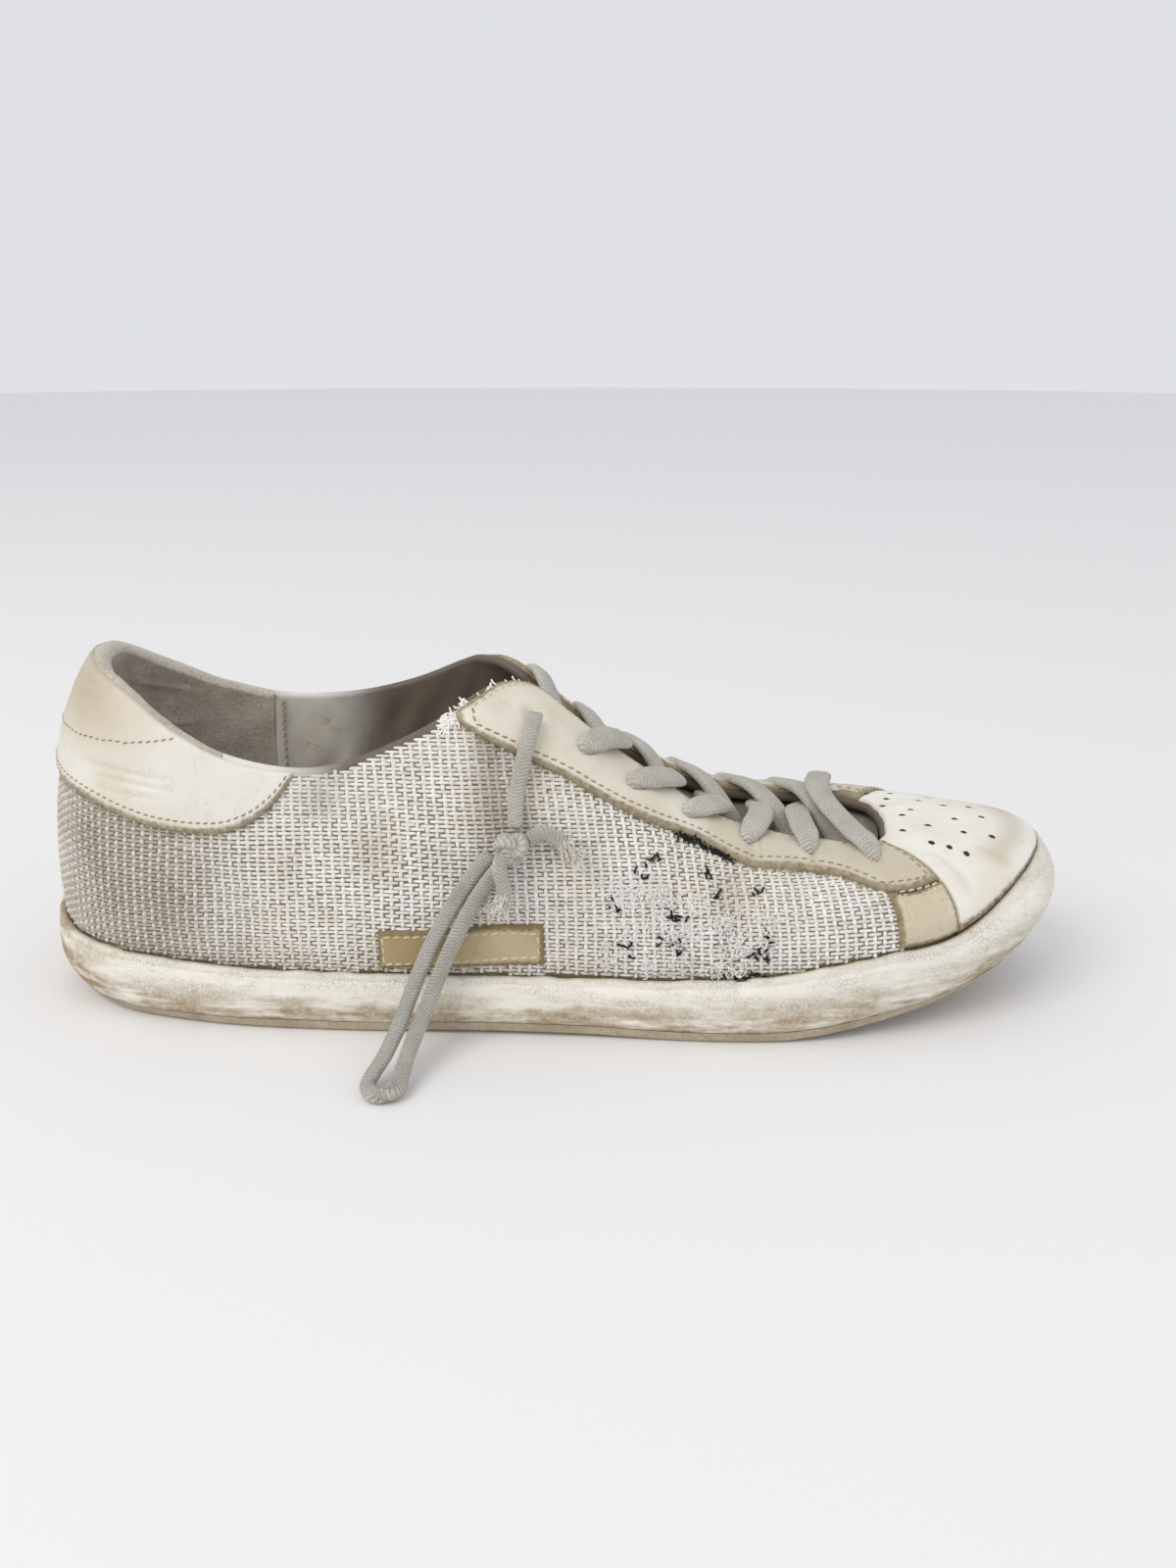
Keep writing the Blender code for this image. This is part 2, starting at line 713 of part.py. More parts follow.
def build_lace_crossings(finish):
    """The laced part, as flat bands from eyelet to eyelet, joined where they cross."""
    bands = []
    last_pair = len(EYELETS["climb"]) - 1
    pairs = [(n, n + 1, side) for n in range(last_pair) for side in (1, -1)]
    pairs.append((last_pair, last_pair, 1))
    for first, last, side in pairs:
        start, end = eyelet(first, side), eyelet(last, -side)
        near = ((start[0] * 2 + eyelet(last, side)[0]) / 3, 1.0)
        far = ((eyelet(first, -side)[0] + 2 * end[0]) / 3, 1.0)
        bands.append(band("lace_band", (start, near, far, end), side, finish))
    whole = bands[0]
    whole.name = "lace_crossings"
    for other in bands[1:]:
        other.hide_render = True
        other.display_type = "WIRE"
        join = whole.modifiers.new("join", "BOOLEAN")
        join.operation = "UNION"
        join.object = other
    return whole


def band(name, route, side, finish):
    """A flat band through turns and climbs, as wide as the lace and lying along the facings."""
    base = OVERLAY_GAP + OVERLAY + LACE_GAP
    sheets = []
    for lift in (base + LACE_THICKNESS, base):
        edges = []
        for share in (-0.5, 0.5):
            points = []
            for turn, climb in route:
                speed = np.linalg.norm(skin(turn + STEP, climb) - skin(turn - STEP, climb)) / (2 * STEP)
                shift = math.copysign(share * LACE_WIDTH / speed, share * turn * side)
                points.append(over(turn + shift, climb, np.float64(lift)))
            edges.append(points)
        sheets.append(np.array(edges))
    return slab(name, *sheets, finish)


def cord(name, rows, diameter, finish):
    """A hanging lace as a round cord, on a smooth curve through its chosen points."""
    chosen = np.stack([rows["x"], rows["y"], rows["z"]], -1) * MM
    knots = np.concatenate([[0], np.linalg.norm(np.diff(chosen, axis=0), axis=1).cumsum()])
    where = np.linspace(0, knots[-1], round(knots[-1] / (1.6 * diameter)) + 1)
    points = np.stack([through(knots, chosen[:, axis], where) for axis in range(3)], -1)
    curve = bpy.data.curves.new(name, "CURVE")
    curve.dimensions = "3D"
    curve.bevel_depth = diameter / 2
    curve.bevel_resolution = 2
    curve.use_fill_caps = True
    line = curve.splines.new("POLY")
    line.points.add(len(points) - 1)
    for point, place_at in zip(line.points, points):
        point.co = (*place_at, 1)
    line.use_smooth = True
    curve.materials.append(finish)
    made = bpy.data.objects.new(name, curve)
    bpy.context.scene.collection.objects.link(made)
    return made


def build_knot(finish):
    """The knot at the end of the lace: a rounded lump, dented where its turns lie side by side."""
    work = bmesh.new()
    bmesh.ops.create_icosphere(work, subdivisions=2, radius=1)
    for vert in work.verts:
        x, y, z = vert.co
        dent = KNOT_DENT * (1 + math.sin(5 * z + 2 * math.atan2(y, x))) / 2
        vert.co = [(1 - dent) * c * size * MM / 2 for c, size in zip(vert.co, KNOT_SIZE)]
    mesh = bpy.data.meshes.new("lace_knot")
    work.to_mesh(mesh)
    work.free()
    mesh.shade_smooth()
    mesh.materials.append(finish)
    knot = bpy.data.objects.new("lace_knot", mesh)
    knot.location = [c * MM for c in KNOT_CENTRE]
    bpy.context.scene.collection.objects.link(knot)


def build():
    for thing in list(bpy.data.objects):
        bpy.data.objects.remove(thing, do_unlink=True)
    build_outsole(material("outsole_rubber", 0xA89A84, 0.75))
    build_cup_sole(material("foxing_rubber", 0xE5DDD0, 0.6))
    build_insole(material("insole_leather", 0xB8AD9C, 0.8))
    build_upper(material("quarter_mesh", 0xD6D0C8, 0.85))
    build_tongue(material("tongue_felt", 0xB5AC9E, 0.9))
    build_collar_panel(material("collar_leather", 0xEDE8DE, 0.45))
    for side in (1, -1):
        name = "lateral" if side > 0 else "medial"
        facing = material("eyestay_leather_" + name, 0xDDD2B5, 0.7)
        tab = material("tab_leather_" + name, 0xD5C9A8, 0.75)
        build_eyestay(side, facing, tab)
    build_toe_box(material("toe_leather", 0xE8DCC4, 0.55))
    build_toe_patch(material("patch_suede", 0xA59B8C, 0.95))
    build_tag(material("tag_leather", 0xD9CBA8, 0.7))
    build_lace_crossings(material("lace_cotton", 0xB9B4A4, 0.9))
    cord("lace_end", LACE_END, HANGING_LACE, material("hanging_cotton", 0xC4BFB2, 0.9))
    cord("lace_loop", LACE_LOOP, HANGING_LACE, material("loop_cotton", 0xB5B0A4, 0.9))
    cord("lace_tail_front", TAIL_FRONT, FRAYED_LACE, material("frayed_cotton", 0xDAD6CC, 0.95))
    cord("lace_tail_low", TAIL_LOW, FRAYED_LACE, material("frayed_cotton_low", 0xD3CEC2, 0.95))
    build_knot(material("knot_cotton", 0xCFCABE, 0.9))


build()
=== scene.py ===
"""Looks of a worn low-top sneaker for the right foot, standing empty on a pale floor.

The tables and the functions from `turn_of` to `over` are the ones that the CAD source gives the shoe
its shape with, so every piece here lies where its solid does. `at` is a share of the length from the
heel, `turn` goes once round the shoe (0 heel, pi toe, lateral side first) and `climb` goes up the
upper (0 foxing top, 1 opening). On top of them, `flat` unrolls the upper into a plane in metres, for
the weave, the creases and the distances to a panel's edge.
"""

import math

import bpy
import numpy as np
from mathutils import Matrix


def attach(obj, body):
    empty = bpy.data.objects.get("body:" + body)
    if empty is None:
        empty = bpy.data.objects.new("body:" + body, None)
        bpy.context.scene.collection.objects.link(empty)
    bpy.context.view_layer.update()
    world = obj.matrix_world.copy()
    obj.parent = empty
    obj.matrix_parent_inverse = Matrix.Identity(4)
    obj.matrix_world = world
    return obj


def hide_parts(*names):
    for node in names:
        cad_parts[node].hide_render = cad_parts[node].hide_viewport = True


MM = 0.001


def table(columns, *rows):
    """Rows of numbers under named columns, as one array for each column."""
    return dict(zip(columns.split(), np.array(rows, float).T))


# Main sizes
LENGTH = 297 * MM
BALL_WIDTH = 100 * MM
INSTEP_HEIGHT = 93.5 * MM
HEEL_RADIUS = 37 * MM
TOE_RADIUS = 31 * MM
TOE_SWING = 3.5 * MM

# Sole
FOXING_HEIGHT = 17.5 * MM
FOXING_WALL = 2.2 * MM
RIM_INSET = 0.8 * MM
TOE_BULGE = 4.2 * MM
EDGE_INSET = 1.6 * MM
HEEL_BEVEL = 7.5 * MM
OUTSOLE_THICKNESS = 3.2 * MM
HEEL_FLOOR = 15 * MM
BALL_FLOOR = 8.5 * MM
TOE_SPRING = 16 * MM
ARCH_LIFT = 0.8 * MM
INSOLE_THICKNESS = 4 * MM
INSOLE_DISH = 1.2 * MM

# Upper, its overlays and laces
UPPER_WALL = 2.4 * MM
OVERLAY = 1.3 * MM
TOE_LEATHER = 0.9 * MM
TONGUE_THICKNESS = 3 * MM
TAG_THICKNESS = 1 * MM
LACE_WIDTH = 6.5 * MM

# Room between pieces
GAP = 0.3 * MM
OVERLAY_GAP = 0.55 * MM
TONGUE_GAP = 0.9 * MM

# Half widths of the sole from its centre line, as shares of the ball's width
OUTLINE = table(
    "at lateral medial",
    (0.03, 0.245, 0.235),
    (0.08, 0.358, 0.325),
    (0.13, 0.400, 0.360),
    (0.20, 0.435, 0.376),
    (0.30, 0.455, 0.365),
    (0.40, 0.466, 0.350),
    (0.50, 0.480, 0.360),
    (0.60, 0.503, 0.409),
    (0.67, 0.518, 0.456),
    (0.74, 0.520, 0.482),
    (0.80, 0.496, 0.466),
    (0.87, 0.441, 0.414),
    (0.92, 0.368, 0.333),
    (0.97, 0.238, 0.205),
)

# Top of the foxing above the floor, in foxing heights
FOXING_TOP = table(
    "at lateral medial",
    (0.00, 1.37, 1.37),
    (0.05, 1.23, 1.23),
    (0.11, 1.13, 1.13),
    (0.18, 1.06, 1.06),
    (0.30, 1.00, 1.00),
    (0.50, 1.00, 1.00),
    (0.62, 1.03, 1.03),
    (0.69, 1.11, 1.11),
    (0.76, 1.28, 1.28),
    (0.81, 1.39, 1.42),
    (0.86, 1.45, 1.56),
    (0.90, 1.63, 1.80),
    (0.94, 1.96, 2.12),
    (0.975, 2.25, 2.32),
    (1.00, 2.37, 2.37),
)

# Edge of the opening over each place of the sole's outline: its place along the shoe as a share of
# the length, its half width as a share of the ball's width, its height as a share of the instep's
LATERAL_EDGE = table(
    "at edge_at edge_half edge_high",
    (0.000, 0.067, 0.000, 1.055),
    (0.008, 0.070, 0.080, 1.050),
    (0.030, 0.081, 0.158, 1.030),
    (0.080, 0.114, 0.238, 0.976),
    (0.145, 0.163, 0.300, 0.870),
    (0.215, 0.217, 0.335, 0.797),
    (0.295, 0.291, 0.350, 0.777),
    (0.365, 0.355, 0.350, 0.845),
    (0.415, 0.402, 0.340, 0.922),
    (0.455, 0.432, 0.290, 0.978),
    (0.485, 0.453, 0.210, 0.996),
    (0.515, 0.477, 0.148, 0.975),
    (0.550, 0.511, 0.115, 0.878),
    (0.585, 0.558, 0.108, 0.758),
    (0.630, 0.608, 0.113, 0.640),
    (0.680, 0.660, 0.130, 0.545),
    (0.730, 0.709, 0.148, 0.508),
    (0.790, 0.758, 0.170, 0.490),
    (0.850, 0.797, 0.175, 0.482),
    (0.905, 0.816, 0.130, 0.487),
    (0.960, 0.822, 0.060, 0.495),
    (1.000, 0.824, -0.020, 0.500),
)
MEDIAL_EDGE = table(
    "at edge_at edge_half edge_high",
    (0.000, 0.067, 0.000, 1.055),
    (0.008, 0.070, 0.080, 1.045),
    (0.030, 0.081, 0.152, 1.010),
    (0.080, 0.115, 0.225, 0.938),
    (0.145, 0.160, 0.290, 0.862),
    (0.215, 0.217, 0.325, 0.813),
    (0.295, 0.291, 0.335, 0.815),
    (0.365, 0.355, 0.330, 0.862),
    (0.415, 0.402, 0.312, 0.925),
    (0.455, 0.426, 0.260, 0.960),
    (0.485, 0.446, 0.200, 0.965),
    (0.515, 0.470, 0.150, 0.930),
    (0.550, 0.507, 0.118, 0.832),
    (0.585, 0.554, 0.110, 0.735),
    (0.630, 0.608, 0.120, 0.630),
    (0.680, 0.660, 0.140, 0.562),
    (0.730, 0.709, 0.160, 0.535),
    (0.790, 0.758, 0.180, 0.520),
    (0.850, 0.797, 0.175, 0.508),
    (0.905, 0.816, 0.130, 0.502),
    (0.960, 0.822, 0.075, 0.500),
    (1.000, 0.824, 0.020, 0.500),
)

# How the upper bends from the foxing to the opening. It leaves the foxing upwards, for `rise` of
# its height and `flare` of the ball's width outwards, and comes to the edge from `roof` of the way
# back to the foxing and `drop` of its height below.
BEND = table(
    "at rise flare roof drop",
    (0.00, 0.345, 0.018, 0.81, 0.23),
    (0.13, 0.340, 0.022, 0.85, 0.24),
    (0.25, 0.340, 0.023, 0.90, 0.25),
    (0.40, 0.400, 0.030, 0.80, 0.22),
    (0.48, 0.500, 0.032, 0.72, 0.17),
    (0.60, 0.570, 0.034, 0.62, 0.09),
    (0.72, 0.600, 0.020, 0.55, 0.02),
    (0.84, 0.620, 0.012, 0.55, -0.02),
    (0.93, 0.620, 0.008, 0.56, -0.14),
    (1.00, 0.640, 0.007, 0.585, -0.36),
)

# Lower edge of the collar panel, as a climb. It ends at the opening's edge.
COLLAR_PANEL = table(
    "at lateral medial",
    (0.00, 0.545, 0.545),
    (0.05, 0.54, 0.54),
    (0.10, 0.54, 0.54),
    (0.14, 0.56, 0.56),
    (0.18, 0.60, 0.60),
    (0.21, 0.65, 0.65),
    (0.235, 0.73, 0.73),
    (0.255, 0.84, 0.84),
    (0.27, 0.96, 0.96),
)

# Lower edge of the eyestays, as a climb. They end at the opening's edge.
EYESTAY = table(
    "at lateral medial",
    (0.430, 0.95, 0.95),
    (0.445, 0.85, 0.85),
    (0.472, 0.72, 0.72),
    (0.507, 0.62, 0.62),
    (0.550, 0.595, 0.595),
    (0.600, 0.63, 0.63),
    (0.645, 0.68, 0.68),
    (0.690, 0.63, 0.63),
    (0.745, 0.64, 0.64),
    (0.782, 0.59, 0.59),
    (0.812, 0.48, 0.48),
    (0.880, 0.465, 0.465),
)
TAB_FROM = 0.818
EYESTAY_TO = 0.88

# The lace's holes, from the top pair to the toe
EYELETS = table(
    "lateral_at medial_at climb",
    (0.504, 0.500, 0.825),
    (0.550, 0.545, 0.785),
    (0.589, 0.585, 0.790),
    (0.640, 0.630, 0.830),
    (0.697, 0.682, 0.835),
    (0.758, 0.738, 0.830),
    (0.828, 0.800, 0.775),
)

# Top of the suede patch on the medial toe, as a climb
TOE_PATCH = table(
    "at medial",
    (0.880, 0.10),
    (0.900, 0.26),
    (0.930, 0.34),
    (0.965, 0.26),
    (0.990, 0.06),
)
TOE_PATCH_LOW = 0.03
BUTT = 0.02

# The small tag low on the lateral side, as climbs
TAG = table(
    "at low high",
    (0.341, 0.030, 0.205),
    (0.493, 0.034, 0.142),
)

# The hanging end of the lace, in millimetres: down from the top lateral eyelet to the knot, the loop
# from the knot to the floor and back, and the two frayed tails
LACE_END = table(
    "x y z",
    (-4.4, -29.9, 87.2),
    (-5.4, -34.2, 84.0),
    (-6.5, -37.7, 80.5),
    (-7.9, -40.1, 74.3),
    (-9.1, -41.9, 68.5),
    (-9.3, -43.6, 64.6),
    (-9.4, -45.6, 61.0),
)
LACE_LOOP = table(
    "x y z",
    (-16.0, -47.0, 53.6),
    (-18.3, -47.2, 51.0),
    (-21.6, -47.7, 46.6),
    (-26.2, -48.6, 39.5),
    (-31.0, -49.6, 31.0),
    (-33.8, -51.0, 25.0),
    (-36.2, -52.6, 19.3),
    (-38.1, -55.6, 14.7),
    (-39.5, -59.4, 11.4),
    (-41.2, -64.3, 8.4),
    (-43.0, -69.2, 5.8),
    (-45.0, -73.4, 3.8),
    (-45.8, -77.4, 2.5),
    (-43.6, -80.7, 2.2),
    (-40.2, -80.8, 2.2),
    (-38.0, -78.2, 2.5),
    (-37.6, -74.4, 3.8),
    (-37.0, -70.4, 5.8),
    (-35.9, -65.6, 8.2),
    (-34.4, -60.6, 11.0),
    (-32.8, -57.0, 14.4),
    (-31.0, -54.4, 18.6),
    (-28.6, -52.5, 24.2),
    (-25.6, -51.3, 31.0),
    (-21.0, -50.5, 40.0),
    (-17.0, -50.0, 46.4),
    (-13.5, -49.7, 51.0),
)
TAIL_FRONT = table(
    "x y z",
    (-5.5, -47.2, 58.1),
    (-2.6, -46.3, 59.6),
    (1.0, -46.0, 58.5),
    (4.3, -46.0, 54.8),
    (7.0, -46.0, 52.4),
)
TAIL_LOW = table(
    "x y z",
    (-12.1, -52.9, 55.7),
    (-12.9, -54.0, 53.4),
    (-12.6, -54.3, 50.4),
    (-11.9, -54.0, 47.0),
    (-12.5, -52.9, 43.2),
    (-14.0, -51.6, 39.8),
)

# The knot, in millimetres
KNOT_CENTRE = (-10.1, -48.0, 56.0)
KNOT_SIZE = (10.4, 7.8, 11.2)

STEP = 1e-4


def turn_of(at, side=1):
    """The turn at a share of the length, on the lateral side (1) or the medial side (-1)."""
    return side * np.arccos(1 - 2 * np.asarray(at, float))


def half_turn(turn):
    """How far the turn is from the heel on its own side, from 0 to pi, and whether it is lateral."""
    wrapped = (np.asarray(turn, float) + math.pi) % (2 * math.pi) - math.pi
    return np.abs(wrapped), wrapped >= 0


def through(knots, values, where):
    """A smooth curve through the values at the knots: cubic Hermite, slopes by differences."""
    slopes = np.gradient(values, knots)
    i = np.clip(np.searchsorted(knots, where) - 1, 0, len(knots) - 2)
    span = knots[i + 1] - knots[i]
    t = np.clip((where - knots[i]) / span, 0, 1)
    return (
        values[i] * (2 * t**3 - 3 * t**2 + 1)
        + values[i + 1] * (3 * t**2 - 2 * t**3)
        + slopes[i] * span * (t**3 - 2 * t**2 + t)
        + slopes[i + 1] * span * (t**3 - t**2)
    )


def column(rows, name, turn):
    """A table's column at the turn, on a smooth curve through its rows."""
    return through(turn_of(rows["at"]), rows[name], half_turn(turn)[0])


def sided(rows, turn):
    """The lateral or the medial column of a table, whichever side the turn is on."""
    lateral = half_turn(turn)[1]
    return np.where(lateral, column(rows, "lateral", turn), column(rows, "medial", turn))


def place(turn):
    """The share of the length at the turn."""
    return (1 - np.cos(half_turn(turn)[0])) / 2


def ease(x):
    """From 0 to 1 with a soft start and end."""
    x = np.clip(x, 0, 1)
    return x * x * (3 - 2 * x)


def plan(turn):
    """The sole's widest outline: half width over sine stays smooth, so both ends come out round."""
    angle, lateral = half_turn(turn)
    knots = np.concatenate([[0], turn_of(OUTLINE["at"]), [math.pi]])
    fullness = []
    for side in ("lateral", "medial"):
        inner = BALL_WIDTH * OUTLINE[side] / np.sin(knots[1:-1])
        ends = np.sqrt(np.array([HEEL_RADIUS, TOE_RADIUS]) * LENGTH / 2)
        fullness.append(through(knots, np.concatenate([ends[:1], inner, ends[1:]]), angle))
    half = np.where(lateral, -fullness[0], fullness[1]) * np.sin(angle)
    at = place(turn)
    centre = TOE_SWING * ease((at - 0.6) / 0.4)
    return np.stack([LENGTH * (at - 0.5), centre + half], -1)


def outward(turn):
    """The outline's unit normal, pointing away from the shoe."""
    along = plan(turn + STEP) - plan(turn - STEP)
    normal = np.stack([along[..., 1], -along[..., 0]], -1)
    return normal / np.linalg.norm(normal, axis=-1, keepdims=True)


def ring(turn, inset, height):
    """Points of the outline moved in by the inset, at the height."""
    flat = plan(turn) - outward(turn) * np.asarray(inset)[..., None]
    return np.concatenate([flat, np.broadcast_to(height, flat.shape[:-1])[..., None]], -1)


def underside(turn):
    """Height of the sole's underside: flat heel and ball, a lifted arch, and the toe's spring."""
    at = place(turn)
    arch = ARCH_LIFT * ease((at - 0.32) / 0.1) * ease((0.62 - at) / 0.1)
    return arch + TOE_SPRING * np.clip((at - 0.70) / 0.30, 0, 1) ** 1.35


def foxing_top(turn):
    """Height of the foxing's top edge."""
    return FOXING_HEIGHT * sided(FOXING_TOP, turn)


def cup_floor(turn):
    """Height of the cup's inner floor, which falls from the heel to the ball."""
    at = place(turn)
    thickness = HEEL_FLOOR + (BALL_FLOOR - HEEL_FLOOR) * ease((at - 0.15) / 0.5)
    return thickness + TOE_SPRING * np.clip((at - 0.70) / 0.30, 0, 1) ** 1.35


def rim_inset(turn):
    """How far the foxing's top edge lies inside the widest outline: more at the full toe."""
    return RIM_INSET + TOE_BULGE * ease((place(turn) - 0.8) / 0.2)


def foxing_inset(turn, share):
    """Inset of the sole's side at a share of its height: in at the floor, out, and in at the rim."""
    widest = 0.6
    low = EDGE_INSET + HEEL_BEVEL * np.cos(half_turn(turn)[0]) ** 4
    below = np.clip(1 - share / widest, 0, 1)
    above = np.clip((share - widest) / (1 - widest), 0, 1)
    return low * below**2 + rim_inset(turn) * above**2


def inner_inset(turn):
    """Inset of the cup's inner wall."""
    return rim_inset(turn) + FOXING_WALL


def opening(turn):
    """The edge of the collar and throat over the turn."""
    lateral = half_turn(turn)[1]
    parts = []
    for name in ("edge_at", "edge_half", "edge_high"):
        sides = (column(LATERAL_EDGE, name, turn), column(MEDIAL_EDGE, name, turn))
        parts.append(np.where(lateral, *sides))
    half = np.where(lateral, -parts[1], parts[1])
    return np.stack([LENGTH * (parts[0] - 0.5), BALL_WIDTH * half, INSTEP_HEIGHT * parts[2]], -1)


def skin(turn, climb):
    """The upper's outer surface: upright in the cup, then one cubic Bezier up to the opening."""
    turn, climb = np.broadcast_arrays(np.asarray(turn, float), np.asarray(climb, float))
    inset = inner_inset(turn) + GAP
    foot = ring(turn, inset, foxing_top(turn))
    edge = opening(turn)
    up = np.array([0, 0, 1.0])
    height = (edge - foot)[..., 2:]
    back = (foot - edge) * np.array([1, 1, 0])
    normal = np.concatenate([outward(turn), np.zeros(turn.shape + (1,))], -1)
    rise, flare, roof, drop = (column(BEND, n, turn)[..., None] for n in ("rise", "flare", "roof", "drop"))
    first = foot + normal * flare * BALL_WIDTH + up * rise * height
    second = edge + back * roof - up * drop * height
    t = np.clip(climb, 0, 1)[..., None]
    s = 1 - t
    surface = s**3 * foot + 3 * s**2 * t * first + 3 * s * t**2 * second + t**3 * edge
    tuck = np.clip(-climb, 0, 1) * (foxing_top(turn) - cup_floor(turn) - GAP)
    surface[..., 2] -= tuck
    return surface


def skin_normal(turn, climb):
    """The upper's outward unit normal."""
    climb = np.clip(climb, -1 + 2 * STEP, 1 - 2 * STEP)
    around = skin(turn + STEP, climb) - skin(turn - STEP, climb)
    upwards = skin(turn, climb + STEP) - skin(turn, climb - STEP)
    normal = np.cross(around, upwards)
    return normal / np.linalg.norm(normal, axis=-1, keepdims=True)


def over(turn, climb, lift):
    """A point above the upper's outer surface, or inside it where the lift is negative."""
    lift = np.asarray(lift, float)
    return skin(turn, climb) + skin_normal(turn, climb) * lift[..., None]


def unit(vectors):
    """The vectors, each brought to length 1."""
    return vectors / np.linalg.norm(vectors, axis=-1, keepdims=True)


def square_to(vectors, way):
    """The unit vectors that lie square to the way, nearest to the given ones."""
    return unit(vectors - way * np.sum(vectors * way, -1, keepdims=True))


def side_name(side):
    """The name of the lateral side (1) or the medial side (-1)."""
    return "lateral" if side > 0 else "medial"

# ---------------------------------------------------------------- the upper, unrolled into a plane

TURNS = np.linspace(-math.pi, math.pi, 1441)
CLIMBS = np.linspace(0, 1, 121)
SHARES = np.linspace(0, 1, 161)


def lengths_of(points, axis):
    """Running length along a grid of points, in one direction of the grid."""
    steps = np.linalg.norm(np.diff(points, axis=axis), axis=-1)
    total = np.cumsum(steps, axis=axis)
    return np.insert(total, 0, 0, axis=axis)


SKIN_GRID = skin(TURNS[:, None], CLIMBS[None, :])
FOOT_ARC = lengths_of(ring(TURNS, inner_inset(TURNS) + GAP, 0 * TURNS), 0)
FOOT_ARC = FOOT_ARC - np.interp(0, TURNS, FOOT_ARC)
UP_ARC = lengths_of(SKIN_GRID, 1)
CLIMB_AT = np.array([np.interp(SHARES * up[-1], up, CLIMBS) for up in UP_ARC])


def lookup(values, row, column):
    """A grid's value at fractional rows and columns, by straight lines between its points."""
    row, column = np.broadcast_arrays(row, column)
    i = np.clip(np.floor(row).astype(int), 0, values.shape[0] - 2)
    j = np.clip(np.floor(column).astype(int), 0, values.shape[1] - 2)
    a, b = np.clip(row - i, 0, 1), np.clip(column - j, 0, 1)
    near = (1 - a) * values[i, j] + a * values[i + 1, j]
    far = (1 - a) * values[i, j + 1] + a * values[i + 1, j + 1]
    return (1 - b) * near + b * far


def turn_row(turn):
    """The row of the unrolled grids at the turn, with its fraction."""
    return (wrapped(turn) + math.pi) / (2 * math.pi) * (len(TURNS) - 1)


def wrapped(turn):
    """The turn brought to between -pi and pi."""
    return (np.asarray(turn, float) + math.pi) % (2 * math.pi) - math.pi


def height_of(turn):
    """Whole length up the upper at the turn."""
    return np.interp(wrapped(turn), TURNS, UP_ARC[:, -1])


def flat(turn, climb):
    """The unrolled upper: x is the arc along its foot, y the arc up it, plus the foxing's rise."""
    turn = wrapped(turn)
    x = np.interp(turn, TURNS, FOOT_ARC)
    y = lookup(UP_ARC, turn_row(turn), np.clip(climb, 0, 1) * (len(CLIMBS) - 1))
    return np.stack(np.broadcast_arrays(x, y + foxing_top(turn) - FOXING_HEIGHT), -1)


def unflat(x, y):
    """Turn and climb of a point of the unrolled upper."""
    turn = np.interp(x, FOOT_ARC, TURNS)
    share = (y - foxing_top(turn) + FOXING_HEIGHT) / height_of(turn)
    return turn, lookup(CLIMB_AT, turn_row(turn), np.clip(share, 0, 1) * (len(SHARES) - 1)), share


def to_path(points, path):
    """Distance of each flat point to a flat path, and how far along the path it lies, from 0 to 1."""
    points, path = np.asarray(points), np.asarray(path)
    best = np.full(points.shape[:-1], np.inf)
    along = np.zeros(points.shape[:-1])
    run = lengths_of(path, 0)
    for a, b, start, end in zip(path[:-1], path[1:], run[:-1], run[1:]):
        leg = b - a
        t = np.clip(((points - a) @ leg) / (leg @ leg + 1e-18), 0, 1)
        away = np.linalg.norm(points - a - t[..., None] * leg, axis=-1)
        closer = away < best
        best = np.where(closer, away, best)
        along = np.where(closer, (start + t * (end - start)) / run[-1], along)
    return best, along


